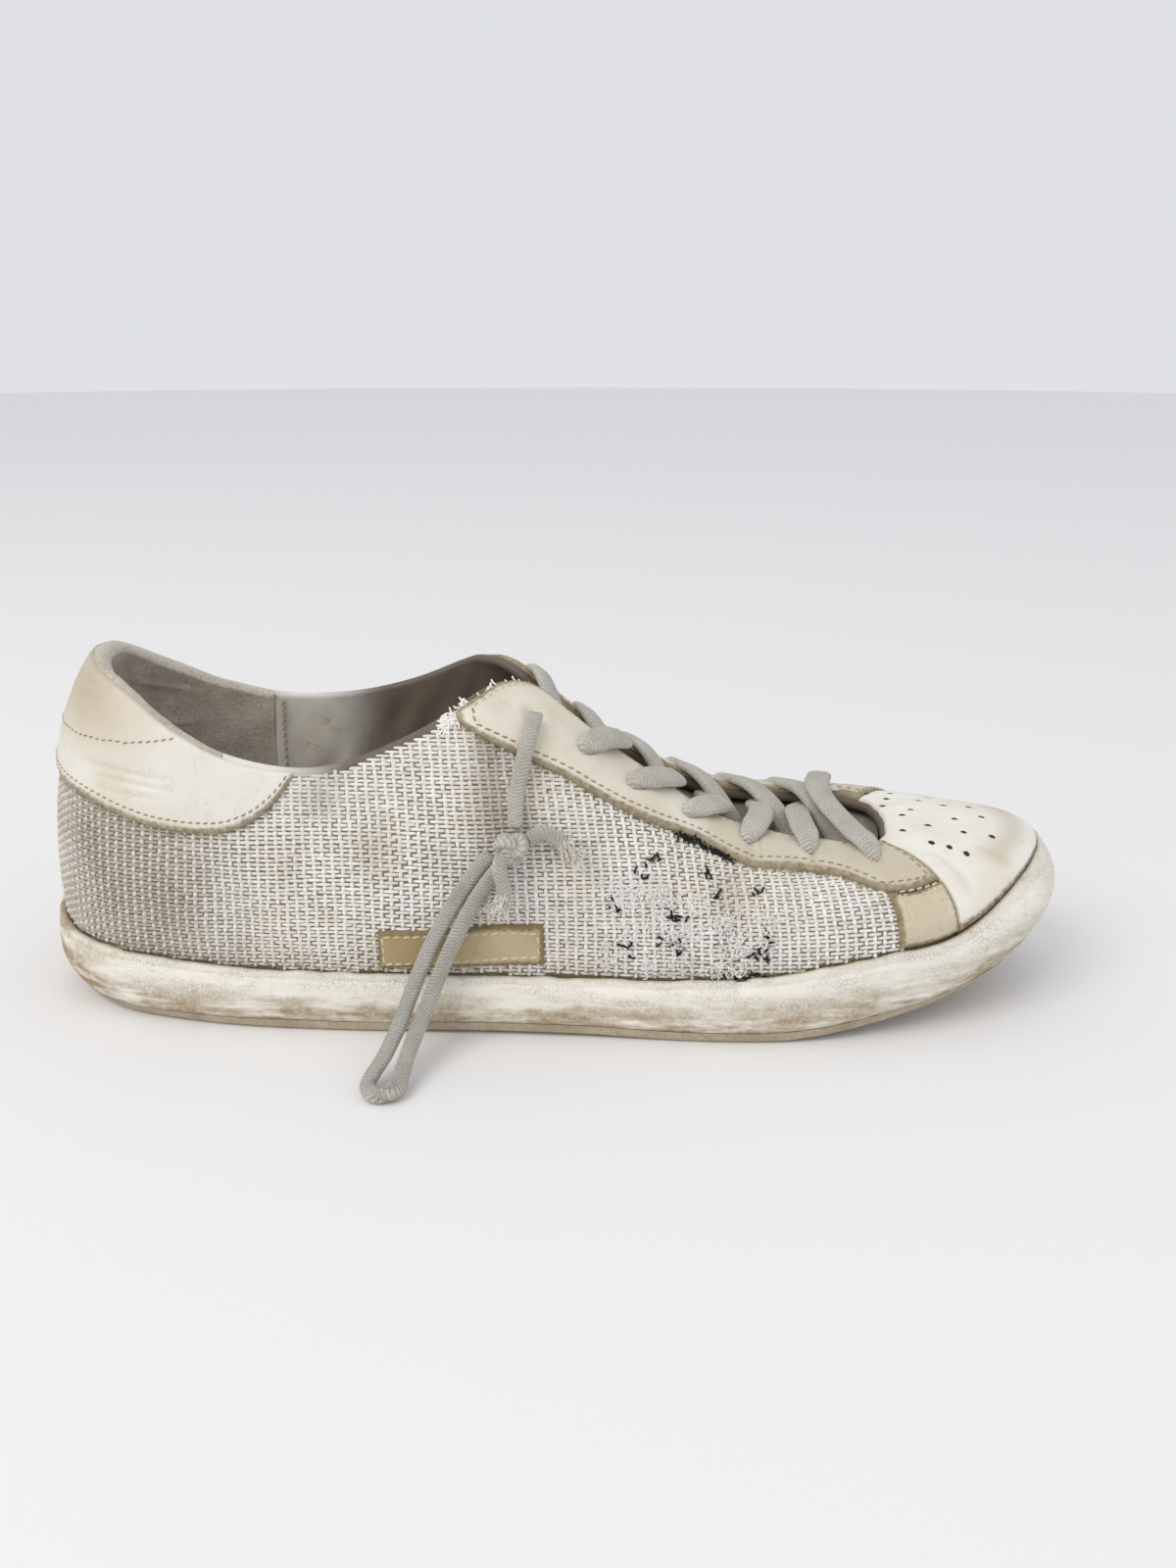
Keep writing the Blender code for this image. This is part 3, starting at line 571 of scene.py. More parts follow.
# Creases and folds of the upper: side, depth in mm (down is positive), half width in mm, and points
# given as place along the shoe and climb
CREASES = (
    (1, 0.9, 1.6, ((0.700, 0.95), (0.697, 0.81), (0.695, 0.70), (0.692, 0.60))),
    (1, 0.6, 1.1, ((0.709, 0.93), (0.706, 0.81), (0.700, 0.62))),
    (1, -0.6, 1.6, ((0.703, 0.92), (0.701, 0.80), (0.697, 0.64))),
    (1, 0.7, 1.3, ((0.760, 0.86), (0.757, 0.74), (0.750, 0.63))),
    (1, 1.0, 3.0, ((0.692, 0.60), (0.660, 0.46), (0.661, 0.34), (0.664, 0.20), (0.664, 0.04))),
    (1, 0.6, 2.2, ((0.628, 0.60), (0.618, 0.40), (0.612, 0.22))),
    (1, 0.7, 3.0, ((0.730, 0.50), (0.724, 0.30), (0.722, 0.10))),
    (1, 0.55, 0.9, ((0.040, 0.655), (0.058, 0.67), (0.090, 0.70), (0.121, 0.74), (0.158, 0.80))),
    (1, 0.45, 0.8, ((0.050, 0.625), (0.072, 0.645), (0.102, 0.68), (0.143, 0.73), (0.165, 0.77))),
    (1, 0.35, 0.8, ((0.060, 0.595), (0.100, 0.63), (0.150, 0.69))),
    (1, 0.5, 1.0, ((0.004, 0.86), (0.020, 0.88), (0.045, 0.89), (0.070, 0.93))),
    (1, 0.4, 0.8, ((0.006, 0.92), (0.022, 0.93), (0.052, 0.95))),
    (1, 0.4, 0.9, ((0.002, 0.80), (0.018, 0.82), (0.040, 0.82))),
    (1, 0.8, 5.0, ((0.180, 0.50), (0.200, 0.30), (0.230, 0.14))),
    (1, -0.7, 6.0, ((0.120, 0.46), (0.150, 0.25), (0.180, 0.10))),
    (1, 0.8, 6.0, ((0.360, 0.90), (0.350, 0.60), (0.370, 0.35))),
    (-1, 0.9, 1.8, ((0.690, 0.92), (0.688, 0.75), (0.684, 0.55), (0.680, 0.30))),
    (-1, 0.7, 1.4, ((0.742, 0.85), (0.740, 0.70), (0.734, 0.45))),
    (-1, 0.5, 1.0, ((0.030, 0.66), (0.070, 0.69), (0.120, 0.75))),
    (-1, 0.5, 1.0, ((0.020, 0.86), (0.060, 0.88), (0.110, 0.93))),
    (-1, 0.9, 6.0, ((0.350, 0.85), (0.340, 0.55), (0.360, 0.30))),
    (1, 0.45, 2.2, ((0.900, 0.80), (0.905, 0.60), (0.902, 0.40), (0.896, 0.15))),
    (1, 0.5, 2.6, ((0.948, 0.55), (0.955, 0.35), (0.950, 0.12))),
    (-1, 0.5, 2.4, ((0.905, 0.75), (0.915, 0.50), (0.912, 0.25))),
)


def relief(turn, climb):
    """How deep the creases are, in metres: each is its depth times exp(-(distance/width)^2), thinned
    to nothing towards both ends, and they add up."""
    turn, climb = np.broadcast_arrays(wrapped(turn), np.asarray(climb, float))
    here = flat(turn, climb)
    total = np.zeros(turn.shape)
    for side, depth, width, rows in CREASES:
        at, up = np.array(rows).T
        path = flat(turn_of(at, side), up)
        low, high = path.min(0) - 4 * width * MM, path.max(0) + 4 * width * MM
        close = np.all((here > low) & (here < high), -1)
        if close.any():
            away, along = to_path(here[close], path)
            total[close] += depth * MM * np.exp(-((away / (width * MM)) ** 2)) * ease(4 * along * (1 - along))
    return total


def waves(x, y, size, seed):
    """Gentle unevenness from -1 to 1: a few sine waves with seeded directions, about `size` long."""
    draw = np.random.default_rng(seed)
    total = np.zeros(np.broadcast(x, y).shape)
    for _ in range(7):
        way, phase, scale = draw.uniform(0, 2 * math.pi, 2).tolist() + [draw.uniform(0.6, 1.7)]
        total += np.sin((x * math.cos(way) + y * math.sin(way)) * 2 * math.pi / size * scale + phase)
    return total / 4


def worn(turn, climb, lift):
    """A point over the upper's surface, let down by its creases and its gentle unevenness."""
    turn, climb = np.broadcast_arrays(np.asarray(turn, float), np.asarray(climb, float))
    here = flat(turn, climb)
    soft = 0.25 * MM * waves(here[..., 0], here[..., 1], 34 * MM, 3)
    soft = soft * ease(np.clip(climb, 0, 1) * 8)
    return over(turn, climb, np.asarray(lift, float) - relief(turn, climb) + soft)


# ---------------------------------------------------------------- meshes

# Where a panel that reaches the opening ends, as a climb
PANEL_TOP = 1 - 8 * STEP
# How far the upper's foot runs for a radian of turn at the toe
TOE_ARC = 60 * MM
# The layer `edge` where no raw edge is near, in mm
NO_EDGE = 9.0


def grid_faces(rows, columns, wrap=False):
    """Quads of a grid of points, closed round its rows where it wraps."""
    index = np.arange(rows * columns).reshape(rows, columns)
    if wrap:
        index = np.concatenate([index, index[:1]])
    return np.stack([index[:-1, :-1], index[1:, :-1], index[1:, 1:], index[:-1, 1:]], -1).reshape(-1, 4)


def repeated(faces, count, step):
    """The faces of one part, repeated for parts of `step` points each."""
    return (faces + np.arange(count)[:, None, None] * step).reshape(-1, faces.shape[1])


def tube_faces(rows, sides, count=1):
    """Quads of tubes, each of so many rings of `sides` points."""
    index = np.arange(rows * sides).reshape(rows, sides)
    index = np.concatenate([index, index[:, :1]], 1)
    quads = np.stack([index[:-1, :-1], index[:-1, 1:], index[1:, 1:], index[1:, :-1]], -1)
    return repeated(quads.reshape(-1, 4), count, rows * sides)


def piece(name, points, faces, finish, slot, nodes=(), uv=None, smooth=True, **layers):
    """One piece from its points and faces. Each layer is a number for every point, kept under its
    name for the material to read."""
    points, faces = np.asarray(points, float), np.asarray(faces)
    mesh = bpy.data.meshes.new(name)
    mesh.vertices.add(points.size // 3)
    mesh.vertices.foreach_set("co", points.astype(np.float32).ravel())
    mesh.loops.add(faces.size)
    mesh.loops.foreach_set("vertex_index", faces.astype(np.int32).ravel())
    mesh.polygons.add(len(faces))
    starts = np.arange(0, faces.size, faces.shape[1], dtype=np.int32)
    mesh.polygons.foreach_set("loop_start", starts)
    mesh.polygons.foreach_set("use_smooth", np.full(len(faces), smooth))
    if uv is not None:
        layer = mesh.uv_layers.new(name="along")
        layer.data.foreach_set("uv", np.asarray(uv, np.float32).reshape(-1, 2)[faces.ravel()].ravel())
    for key, values in layers.items():
        layer = mesh.attributes.new(key, "FLOAT", "POINT")
        layer.data.foreach_set("value", np.broadcast_to(values, points.shape[:-1]).astype(np.float32).ravel())
    mesh.update(calc_edges=True)
    mesh.validate()
    mesh.materials.append(finish)
    made = bpy.data.objects.new(name, mesh)
    bpy.context.scene.collection.objects.link(made)
    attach(made, "root")
    if nodes:
        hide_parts(*nodes)
    return made


def outwards(faces, side):
    """The same faces, turned over on the side where the grid runs the other way."""
    return faces[:, ::-1] if side < 0 else faces


def fine_ends(count, span, fine):
    """Shares from 0 to 1 with extra rows close to both ends, `fine` in metres of a `span`."""
    near = np.concatenate([[0], np.asarray(fine) / span])
    middle = np.linspace(near[-1], 1 - near[-1], count)
    return np.concatenate([near[:-1], middle, 1 - near[::-1][1:]])


def panel(name, first, last, low, high, thickness, finish, slot, nodes, pitch=0.8 * MM, dips=None,
          raw=("low", "high", "ends"), **extra):
    """A leather panel on the upper between two turns and two climbs, which may change along it. Its
    face stands `thickness` over the upper's overlay gap and rolls down at its edges on a quarter
    circle. The layer `edge` is the distance to its raw rims in mm, and `trough` how deep its creases
    are in mm."""
    rim = np.array([0.25, 0.6, 1.0, 1.5]) * MM
    if last <= math.pi:
        span = abs(np.interp(last, TURNS, FOOT_ARC) - np.interp(first, TURNS, FOOT_ARC))
    else:
        span = abs(last - first) * TOE_ARC
    turns = first + (last - first) * fine_ends(int(span / pitch) + 2, span, rim)
    bottom, top = ((way(turns) if callable(way) else np.full(turns.shape, way))[:, None] for way in (low, high))
    height = height_of(turns)[:, None] * (top - bottom)
    rise = np.median(height)
    shares = fine_ends(int(rise / pitch) + 2, rise, rim)
    climb = bottom + (top - bottom) * shares
    turn = np.broadcast_to(turns[:, None], climb.shape)
    speed = np.linalg.norm(skin(turn + STEP, climb) - skin(turn - STEP, climb), axis=-1) / (2 * STEP)
    ends = np.minimum(np.abs(turn - first), np.abs(turn - last)) * speed
    rims = {"low": shares * height, "high": (1 - shares) * height, "ends": ends}
    away = np.minimum.reduce(list(rims.values()))
    edge = np.sqrt(1 - (1 - np.clip(away / thickness, 0, 1)) ** 2)
    lift = OVERLAY_GAP + thickness * edge - 0.5 * MM * (1 - edge)
    if dips is not None:
        lift = lift - dips(turn, climb)
    bare = np.minimum.reduce([rims[key] for key in raw] + [np.full(turn.shape, NO_EDGE * MM)])
    layers = {key: rule(turn, climb) for key, rule in extra.items()}
    return piece(name, worn(turn, climb, lift), outwards(grid_faces(*turn.shape), last - first), finish, slot,
                 nodes, flat(turn, climb) / MM / 10, edge=bare / MM, trough=relief(turn, climb) / MM, **layers)


def lip(turns, outer, inner, start, stop, counts, crown=1.0):
    """The upper's wall at the opening as one sheet: up the outside from `start`, round the edge on a
    half circle, and down the inside to `stop`. `outer` and `inner` are how far it lies proud of the
    upper's own wall on each side. Returns the points and their climbs."""
    turns = np.asarray(turns)[:, None]
    rows_out, rows_round, rows_in = counts
    top = 1 - 4 * STEP
    up = start + (top - start) * np.linspace(0, 1, rows_out)
    down = top + (stop - top) * np.linspace(0, 1, rows_in) ** 1.2
    outside, inside = worn(turns, up, outer), worn(turns, down, -UPPER_WALL - inner)
    first, last = outside[:, -1:], inside[:, :1]
    rise = unit(skin(turns, 1 - STEP) - skin(turns, 1 - 40 * STEP))
    half = (first - last) / 2
    angle = np.linspace(0, math.pi, rows_round + 2)[1:-1, None]
    tall = rise * np.linalg.norm(half, axis=-1, keepdims=True) * crown
    round_edge = (first + last) / 2 + half * np.cos(angle) + tall * np.sin(angle)
    return np.concatenate([outside, round_edge, inside], 1), np.concatenate([up, np.ones(rows_round), down])


def mounds(centre, along, across, up, length, width, height, shape=(5, 4), power=2.0):
    """Many small cushions at once. On each, u and v run from -1 to 1, the height is
    (1 - |u|^2p)^0.5 (1 - v^2)^0.5, and the rim lies on the surface."""
    u, v = np.meshgrid(np.linspace(-1, 1, shape[0]), np.linspace(-1, 1, shape[1]), indexing="ij")
    rise = np.sqrt(np.clip(1 - np.abs(u) ** (2 * power), 0, 1)) * np.sqrt(np.clip(1 - v**2, 0, 1))
    wide = v * (1 - 0.28 * np.abs(u) ** 3)
    parts = [(along, u / 2, length), (across, wide / 2, width), (up, rise, height)]
    grid = centre[:, None, None] + sum(
        way[:, None, None] * share[..., None] * np.broadcast_to(size, len(centre))[:, None, None, None]
        for way, share, size in parts)
    return grid.reshape(-1, 3), repeated(grid_faces(*shape), len(centre), u.size)


def tubes(paths, radius, sides=4):
    """Many thin round threads at once: each path's points get a ring of `sides` points, which
    narrows to a tip at both ends."""
    count, steps = paths.shape[:2]
    way = unit(np.gradient(paths, axis=1))
    first = unit(np.cross(way, np.where(np.abs(way[..., 2:]) > 0.9, [1.0, 0, 0], [0, 0, 1.0])))[:, :, None]
    second = np.cross(way[:, :, None], first)
    angle = (np.arange(sides) * 2 * math.pi / sides)[:, None]
    slim = np.ones((steps, 1, 1))
    slim[0] = slim[-1] = 0.25
    rings = paths[:, :, None] + radius * slim * (first * np.cos(angle) - second * np.sin(angle))
    return rings.reshape(-1, 3), tube_faces(steps, sides, count)


def smooth_path(points, count):
    """Evenly spaced points on a smooth curve through the chosen ones."""
    knots = lengths_of(points, 0)
    where = np.linspace(0, knots[-1], count)
    return np.stack([through(knots, values, where) for values in points.T], -1)


def ribbon(path, across, width, thickness, sides=14):
    """A flat woven lace along a path. Its section is a rounded lens: a superellipse with the given
    width and thickness. `across` is the direction of its width at each point. Returns the points and
    a map of (length in mm, place across from -10 to 10)."""
    way = unit(np.gradient(path, axis=0))
    across = square_to(across, way)[:, None]
    angle = (np.arange(sides) * 2 * math.pi / sides)[:, None]
    wide, tall = (np.sign(k) * np.abs(k) ** (2 / power) for k, power in ((np.cos(angle), 3.0), (np.sin(angle), 2.2)))
    width, thickness = (np.broadcast_to(size, len(path))[:, None, None] / 2 for size in (width, thickness))
    rings = path[:, None] + across * wide * width + np.cross(way[:, None], across) * tall * thickness
    return rings, np.stack(np.broadcast_arrays(lengths_of(path, 0)[:, None] / MM, wide[:, 0] * 10), -1)


def tube_piece(name, rings, finish, slot, nodes, uv=None):
    """A closed skin over rings of points, with its two ends drawn together in a small round cap."""
    caps = []
    for end, inner in ((0, 1), (-1, -2)):
        middle = rings[end].mean(0)
        out = middle - rings[inner].mean(0)
        caps.append([middle + (rings[end] - middle) * k + out * g for k, g in ((0.6, 0.3), (0.02, 0.45))])
    whole = np.concatenate([caps[0][::-1], rings, caps[1]])
    if uv is not None:
        uv = np.concatenate([uv[:1], uv[:1], uv, uv[-1:], uv[-1:]])
    return piece(name, whole, tube_faces(*whole.shape[:2]), finish, slot, nodes, uv)

# ---------------------------------------------------------------- materials


def linear(colour):
    """An sRGB colour, given as a hex number, as linear red, green, blue and 1."""
    parts = [(colour >> shift & 255) / 255 for shift in (16, 8, 0)]
    return (*[p / 12.92 if p <= 0.04045 else ((p + 0.055) / 1.055) ** 2.4 for p in parts], 1)


def node(tree, kind, inputs=(), out=0, **settings):
    """Adds one shader node with its settings. Its inputs, in their order or by name or number, are
    values or outputs of other nodes. Returns the output asked for."""
    made = tree.nodes.new("ShaderNode" + kind)
    for key, value in settings.items():
        setattr(made, key, value)
    for key, value in inputs.items() if isinstance(inputs, dict) else enumerate(inputs):
        if isinstance(value, bpy.types.NodeSocket):
            tree.links.new(value, made.inputs[key])
        else:
            made.inputs[key].default_value = value
    return made.outputs[out]


def finish_of(name, roughness, **sockets):
    """A new Principled material. Returns it, its nodes and its shader."""
    made = bpy.data.materials.new(name)
    made.use_nodes = True
    shader = made.node_tree.nodes["Principled BSDF"]
    shader.inputs["Roughness"].default_value = roughness
    for key, value in sockets.items():
        shader.inputs[key.replace("_", " ")].default_value = value
    return made, made.node_tree, shader


def painted(tree, shader, base, coats, strength, depth, height):
    """The common end of the finishes: each coat lies over the colours before it by its own share,
    and the height gives the bump, which is `depth` metres deep."""
    colour = linear(base)
    for share, coat in coats:
        coat = linear(coat) if isinstance(coat, int) else coat
        colour = node(tree, "Mix", {0: share, 6: colour, 7: coat}, 2, data_type="RGBA")
    tree.links.new(colour, shader.inputs["Base Color"])
    bump = node(tree, "Bump", {"Strength": strength, "Distance": depth, "Height": height})
    tree.links.new(bump, shader.inputs["Normal"])


def leather(name, clean, warm, dirt, raw, roughness, grain, raw_width=1.3, cracks=0.5, coat=0.0):
    """Smooth leather, as on a worn sneaker: an even drum-dyed face with a fine pore grain, warmer and yellowed in
    patches, dirt held in the creases, fine cracks where it bends, and a fuzzy raw cut edge. `grain` is the pore spacing
    and `raw_width` the edge's, in mm."""
    made, tree, shader = finish_of(name, roughness, Coat_Weight=coat, Coat_Roughness=0.35)
    place_at = node(tree, "TexCoord", out="Object")
    patch, fine, blotch = (
        node(tree, "TexNoise", {"Vector": place_at, "Scale": scale, "Detail": detail, "Roughness": rough})
        for scale, detail, rough in ((38, 4, 0.6), (700, 3, 0.65), (160, 5, 0.7)))
    pores, lines = (
        node(tree, "TexVoronoi", {"Vector": place_at, "Scale": scale}, feature=feature)
        for scale, feature in ((1000 / grain, "F1"), (420, "DISTANCE_TO_EDGE")))
    trough, aged, edge = (
        node(tree, "Attribute", out="Fac", attribute_name=layer) for layer in ("trough", "aged", "edge"))
    warmth = node(tree, "MapRange", (patch, 0.42, 0.68))
    specks = node(tree, "MapRange", (blotch, 0.58, 0.8, 0, 0.25))
    deep = node(tree, "MapRange", (trough, 0.12, 0.8, 0, 0.75))
    deep = node(tree, "Math", (deep, fine), operation="MULTIPLY")
    hair = node(tree, "MapRange", (lines, 0, 0.05, 1, 0))
    where = node(tree, "MapRange", (blotch, 0.5, 0.68, 0, cracks))
    crack = node(tree, "Math", (hair, where), operation="MULTIPLY")
    ragged = node(tree, "Math", (fine, 1.6, -0.8), operation="MULTIPLY_ADD")
    border = node(tree, "Math", (edge, ragged), operation="ADD")
    bare = node(tree, "MapRange", (border, raw_width * 0.55, raw_width, 1, 0))
    nap = node(tree, "MapRange", (fine, 0.3, 0.8, 0, 0.55))
    raw_colour = node(tree, "Mix", {0: nap, 6: linear(raw), 7: linear(warm)}, 2, data_type="RGBA")
    rough = node(tree, "MapRange", (bare, 0, 1, roughness, 0.95))
    tree.links.new(rough, shader.inputs["Roughness"])
    height = node(tree, "Math", (pores, 0.35, fine), operation="MULTIPLY_ADD")
    height = node(tree, "Math", (crack, -1.5, height), operation="MULTIPLY_ADD")
    coats = (warmth, warm), (specks, dirt), (deep, dirt), (aged, dirt), (crack, dirt), (bare, raw_colour)
    painted(tree, shader, clean, coats, 0.35, 0.00025, height)
    return made


def fuzzy(name, colours, scales, roughness=0.95, depth=0.4, sheen=0.3, stretch=(1, 1, 1)):
    """Felt, suede, raw leather or cotton: matt, with a nap that scatters light at grazing angles and
    a mottled colour at two sizes. `scales` are the two sizes in mm."""
    made, tree, shader = finish_of(name, roughness, Sheen_Weight=sheen, Sheen_Roughness=0.5)
    place_at = node(tree, "Mapping", {0: node(tree, "TexCoord", out="Object"), 3: stretch})
    big, small = (
        node(tree, "TexNoise", {"Vector": place_at, "Scale": 1000 / size, "Detail": detail, "Roughness": rough})
        for size, detail, rough in ((scales[0], 5, 0.6), (scales[1], 3, 0.7)))
    patches = node(tree, "MapRange", (big, 0.36, 0.66))
    specks = node(tree, "MapRange", (small, 0.45, 0.75, 0, 0.6))
    trough = node(tree, "Attribute", out="Fac", attribute_name="trough")
    deep = node(tree, "MapRange", (trough, 0.1, 1.2, 0, 0.6))
    height = node(tree, "Math", (big, 0.4, small), operation="MULTIPLY_ADD")
    coats = (patches, colours[1]), (specks, colours[2]), (deep, colours[2])
    painted(tree, shader, colours[0], coats, depth, 0.0004, height)
    return made


def yarn(name):
    """Cotton yarn of the open weave: white, greyed and browned yarn by yarn, with fine fibres along it and painted
    shade between them. The layer `tone` is a number for each yarn, its own greyness plus painted shade on the floats,
    and `stain` is how dirty it is, plus painted shade under the floats round the heel."""
    made, tree, shader = finish_of(name, 0.9, Sheen_Weight=0.25, Sheen_Roughness=0.5)
    place_at = node(tree, "TexCoord", out="Object")
    fibres, patch = (
        node(tree, "TexNoise", {"Vector": place_at, "Scale": scale, "Detail": detail, "Roughness": rough})
        for scale, detail, rough in ((1500, 3, 0.7), (60, 4, 0.6)))
    tone, stain = (node(tree, "Attribute", out="Fac", attribute_name=layer) for layer in ("tone", "stain"))
    cream = node(tree, "MapRange", (patch, 0.45, 0.7, 0, 0.5))
    shade = node(tree, "MapRange", (fibres, 0.35, 0.7, 0, 0.22))
    coats = (tone, 0xDED8CD), (cream, 0xE0D2B8), (stain, 0x86745A), (shade, 0xA79C8C)
    painted(tree, shader, 0xFBFAF8, coats, 0.5, 0.00015, fibres)
    return made


def braid(name, pale, dark, dirt, pitch):
    """Flat braided cotton lace: plaits that run slanting to its middle from both edges, as a herringbone, worn soft and
    greyed, with painted shade in the grooves between the plaits. The map's x is the length in mm, y the place across,
    -10 to 10.
    `pitch` is the distance between plaits in mm."""
    made, tree, shader = finish_of(name, 0.92, Sheen_Weight=0.3, Sheen_Roughness=0.5)
    run, beside = node(tree, "SeparateXYZ", (node(tree, "UVMap", uv_map="along"),)).node.outputs[:2]
    place_at = node(tree, "TexCoord", out="Object")
    across = node(tree, "Math", (beside,), operation="ABSOLUTE")
    slant = node(tree, "Math", (across, 0.11, run), operation="MULTIPLY_ADD")
    turns = node(tree, "Math", (slant, 2 * math.pi / pitch), operation="MULTIPLY")
    plait = node(tree, "Math", (turns,), operation="SINE")
    ribs = node(tree, "Math", (beside, 3.4), operation="MULTIPLY")
    rib = node(tree, "Math", (ribs,), operation="SINE")
    noise, patch = (
        node(tree, "TexNoise", {"Vector": place_at, "Scale": scale, "Detail": 4, "Roughness": rough})
        for scale, rough in ((900, 0.7), (110, 0.6)))
    # painted shade: the grooves between the plaits are mixed towards the second colour
    low = node(tree, "MapRange", (plait, -1, 0.3, 0.48, 0))
    share = node(tree, "MapRange", (patch, 0.45, 0.72, 0, 0.7))
    speck = node(tree, "MapRange", (noise, 0.5, 0.75, 0, 0.35))
    height = node(tree, "Math", (rib, 0.25, plait), operation="MULTIPLY_ADD")
    height = node(tree, "Math", (noise, 1.2, height), operation="MULTIPLY_ADD")
    painted(tree, shader, pale, ((low, dark), (share, dirt), (speck, dark)), 1.0, 0.0004, height)
    return made


def foxing_finish():
    """Moulded rubber of the cup sole: off-white, chalky and crackled with age, wiped whiter along
    its top, with brown dirt smeared low and at the heel, scuffs, and glue along the lip. The layer
    `share` goes from the floor, 0, to the lip, 1, and `heel` is 1 at the heel."""
    made, tree, shader = finish_of("moulded_rubber_foxing", 0.62, Coat_Weight=0.06, Coat_Roughness=0.45)
    place_at = node(tree, "TexCoord", out="Object")
    level = node(tree, "Mapping", {0: place_at, 3: (1, 1, 5)})
    smear, fine = (
        node(tree, "TexNoise", {"Vector": where, "Scale": scale, "Detail": detail, "Roughness": rough})
        for where, scale, detail, rough in ((level, 45, 6, 0.65), (place_at, 420, 5, 0.75)))
    crackle = node(tree, "TexVoronoi", {"Vector": place_at, "Scale": 900}, feature="DISTANCE_TO_EDGE")
    share, heel, lip_line = (
        node(tree, "Attribute", out="Fac", attribute_name=layer) for layer in ("share", "heel", "glue"))
    dirty = node(tree, "MapRange", (share, 0.72, 0.2, 0.04, 0.85))
    dirty = node(tree, "Math", (heel, 0.8, dirty), operation="MULTIPLY_ADD")
    spread = node(tree, "MapRange", (smear, 0.36, 0.56))
    amount = node(tree, "Math", (dirty, spread), operation="MULTIPLY")
    broken = node(tree, "MapRange", (fine, 0.3, 0.6, 0.55, 1.15))
    amount = node(tree, "Math", (amount, broken), operation="MULTIPLY")
    spots = node(tree, "MapRange", (fine, 0.56, 0.74, 0, 0.5))
    hair = node(tree, "MapRange", (crackle, 0, 0.09, 1, 0))
    where = node(tree, "MapRange", (smear, 0.42, 0.6, 0, 0.5))
    crack = node(tree, "Math", (hair, where), operation="MULTIPLY")
    glue = node(tree, "Math", (lip_line, fine), operation="MULTIPLY")
    rough = node(tree, "MapRange", (fine, 0.3, 0.7, 0.5, 0.8))
    tree.links.new(rough, shader.inputs["Roughness"])
    height = node(tree, "Math", (crack, -1, fine), operation="MULTIPLY_ADD")
    coats = (amount, 0xA18A66), (spots, 0xBBAA8E), (crack, 0x8E7C62), (glue, 0x9A8A63)
    painted(tree, shader, 0xEFEBE0, coats, 0.45, 0.0004, height)
    return made

# ---------------------------------------------------------------- frame, camera and cords

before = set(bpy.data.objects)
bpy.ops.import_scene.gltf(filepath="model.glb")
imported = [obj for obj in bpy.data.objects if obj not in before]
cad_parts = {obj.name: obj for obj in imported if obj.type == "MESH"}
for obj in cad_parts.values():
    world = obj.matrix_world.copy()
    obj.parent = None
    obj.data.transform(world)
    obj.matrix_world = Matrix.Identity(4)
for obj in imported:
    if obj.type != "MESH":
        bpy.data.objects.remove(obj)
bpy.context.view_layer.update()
bpy.context.scene.view_settings.view_transform = "Standard"

# The photograph's camera: its lens in mm, its place in metres and its angles in degrees
CAMERA_LENS = 31.7
CAMERA_PLACE = (0.0127, -0.3843, 0.1859)
CAMERA_ANGLES = (90 - 18.45, 0, 0.5)


def add_camera():
    """The photograph's viewpoint: 38 cm to the lateral side, 19 cm up, looking 18 degrees down."""
    data = bpy.data.cameras.new("camera")
    data.lens = CAMERA_LENS
    made = bpy.data.objects.new("camera", data)
    made.location = CAMERA_PLACE
    made.rotation_euler = [math.radians(angle) for angle in CAMERA_ANGLES]
    bpy.context.scene.collection.objects.link(made)
    bpy.context.scene.camera = made


add_camera()

# each braid's second colour is the painted shade in its plaits' grooves and also the colour of its specks
LACE = braid("braided_cotton_lace", 0xF1EDE2, 0xBDB5A3, 0xD0C6B2, pitch=0.95)
LOOP = braid("braided_cotton_hanging_lace", 0xE6E2D7, 0xA8A191, 0xC0B7A4, pitch=1.0)
FRAYED = fuzzy("frayed_cotton_fibres", (0xEDE9E0, 0xDDD6C8, 0xB4A996), (3.0, 0.35), stretch=(1, 1, 0.35))


def points_of(rows):
    """A table's points, from millimetres to metres."""
    return np.stack([rows["x"], rows["y"], rows["z"]], -1) * MM


def hanging_lace(name, rows, width, thickness, count, across, twist, finish, slot):
    """A free length of lace along its CAD points: a flat lens in section, which twists slowly by
    `twist` radians from its start to its end. Returns the piece and the path it follows."""
    path = smooth_path(points_of(rows), count)
    way = unit(np.gradient(path, axis=0))
    across = square_to(np.array(across, float), way)
    spin = np.linspace(0, twist, count)[:, None]
    across = across * np.cos(spin) + np.cross(way, across) * np.sin(spin)
    rings, uv = ribbon(path, across, width * MM, thickness * MM)
    return tube_piece("braided_" + name, rings, finish, slot, (name,), uv), path


def add_hanging_laces():
    """The lace's free end with its knot, loop and tails."""
    rows = (
        ("lace_end", LACE_END, 4.3, 2.6, 40, (1, 0.2, 0.1), 0.5, LACE, "lace_cotton"),
        ("lace_loop", LACE_LOOP, 4.2, 3.3, 200, (1, 0, 0.4), 0.3, LOOP, "lace_cotton"),
        ("lace_tail_front", TAIL_FRONT, 4.2, 3.0, 26, (0, 0.2, 1), 0.4, LOOP, "frayed_cotton"),
        ("lace_tail_low", TAIL_LOW, 4.0, 3.0, 26, (1, 0.2, 0), 0.6, LOOP, "frayed_cotton"),
    )
    (end, _), (loop, path), (front, _), (low, _) = (hanging_lace(*row) for row in rows)
    knot = lace_knot()


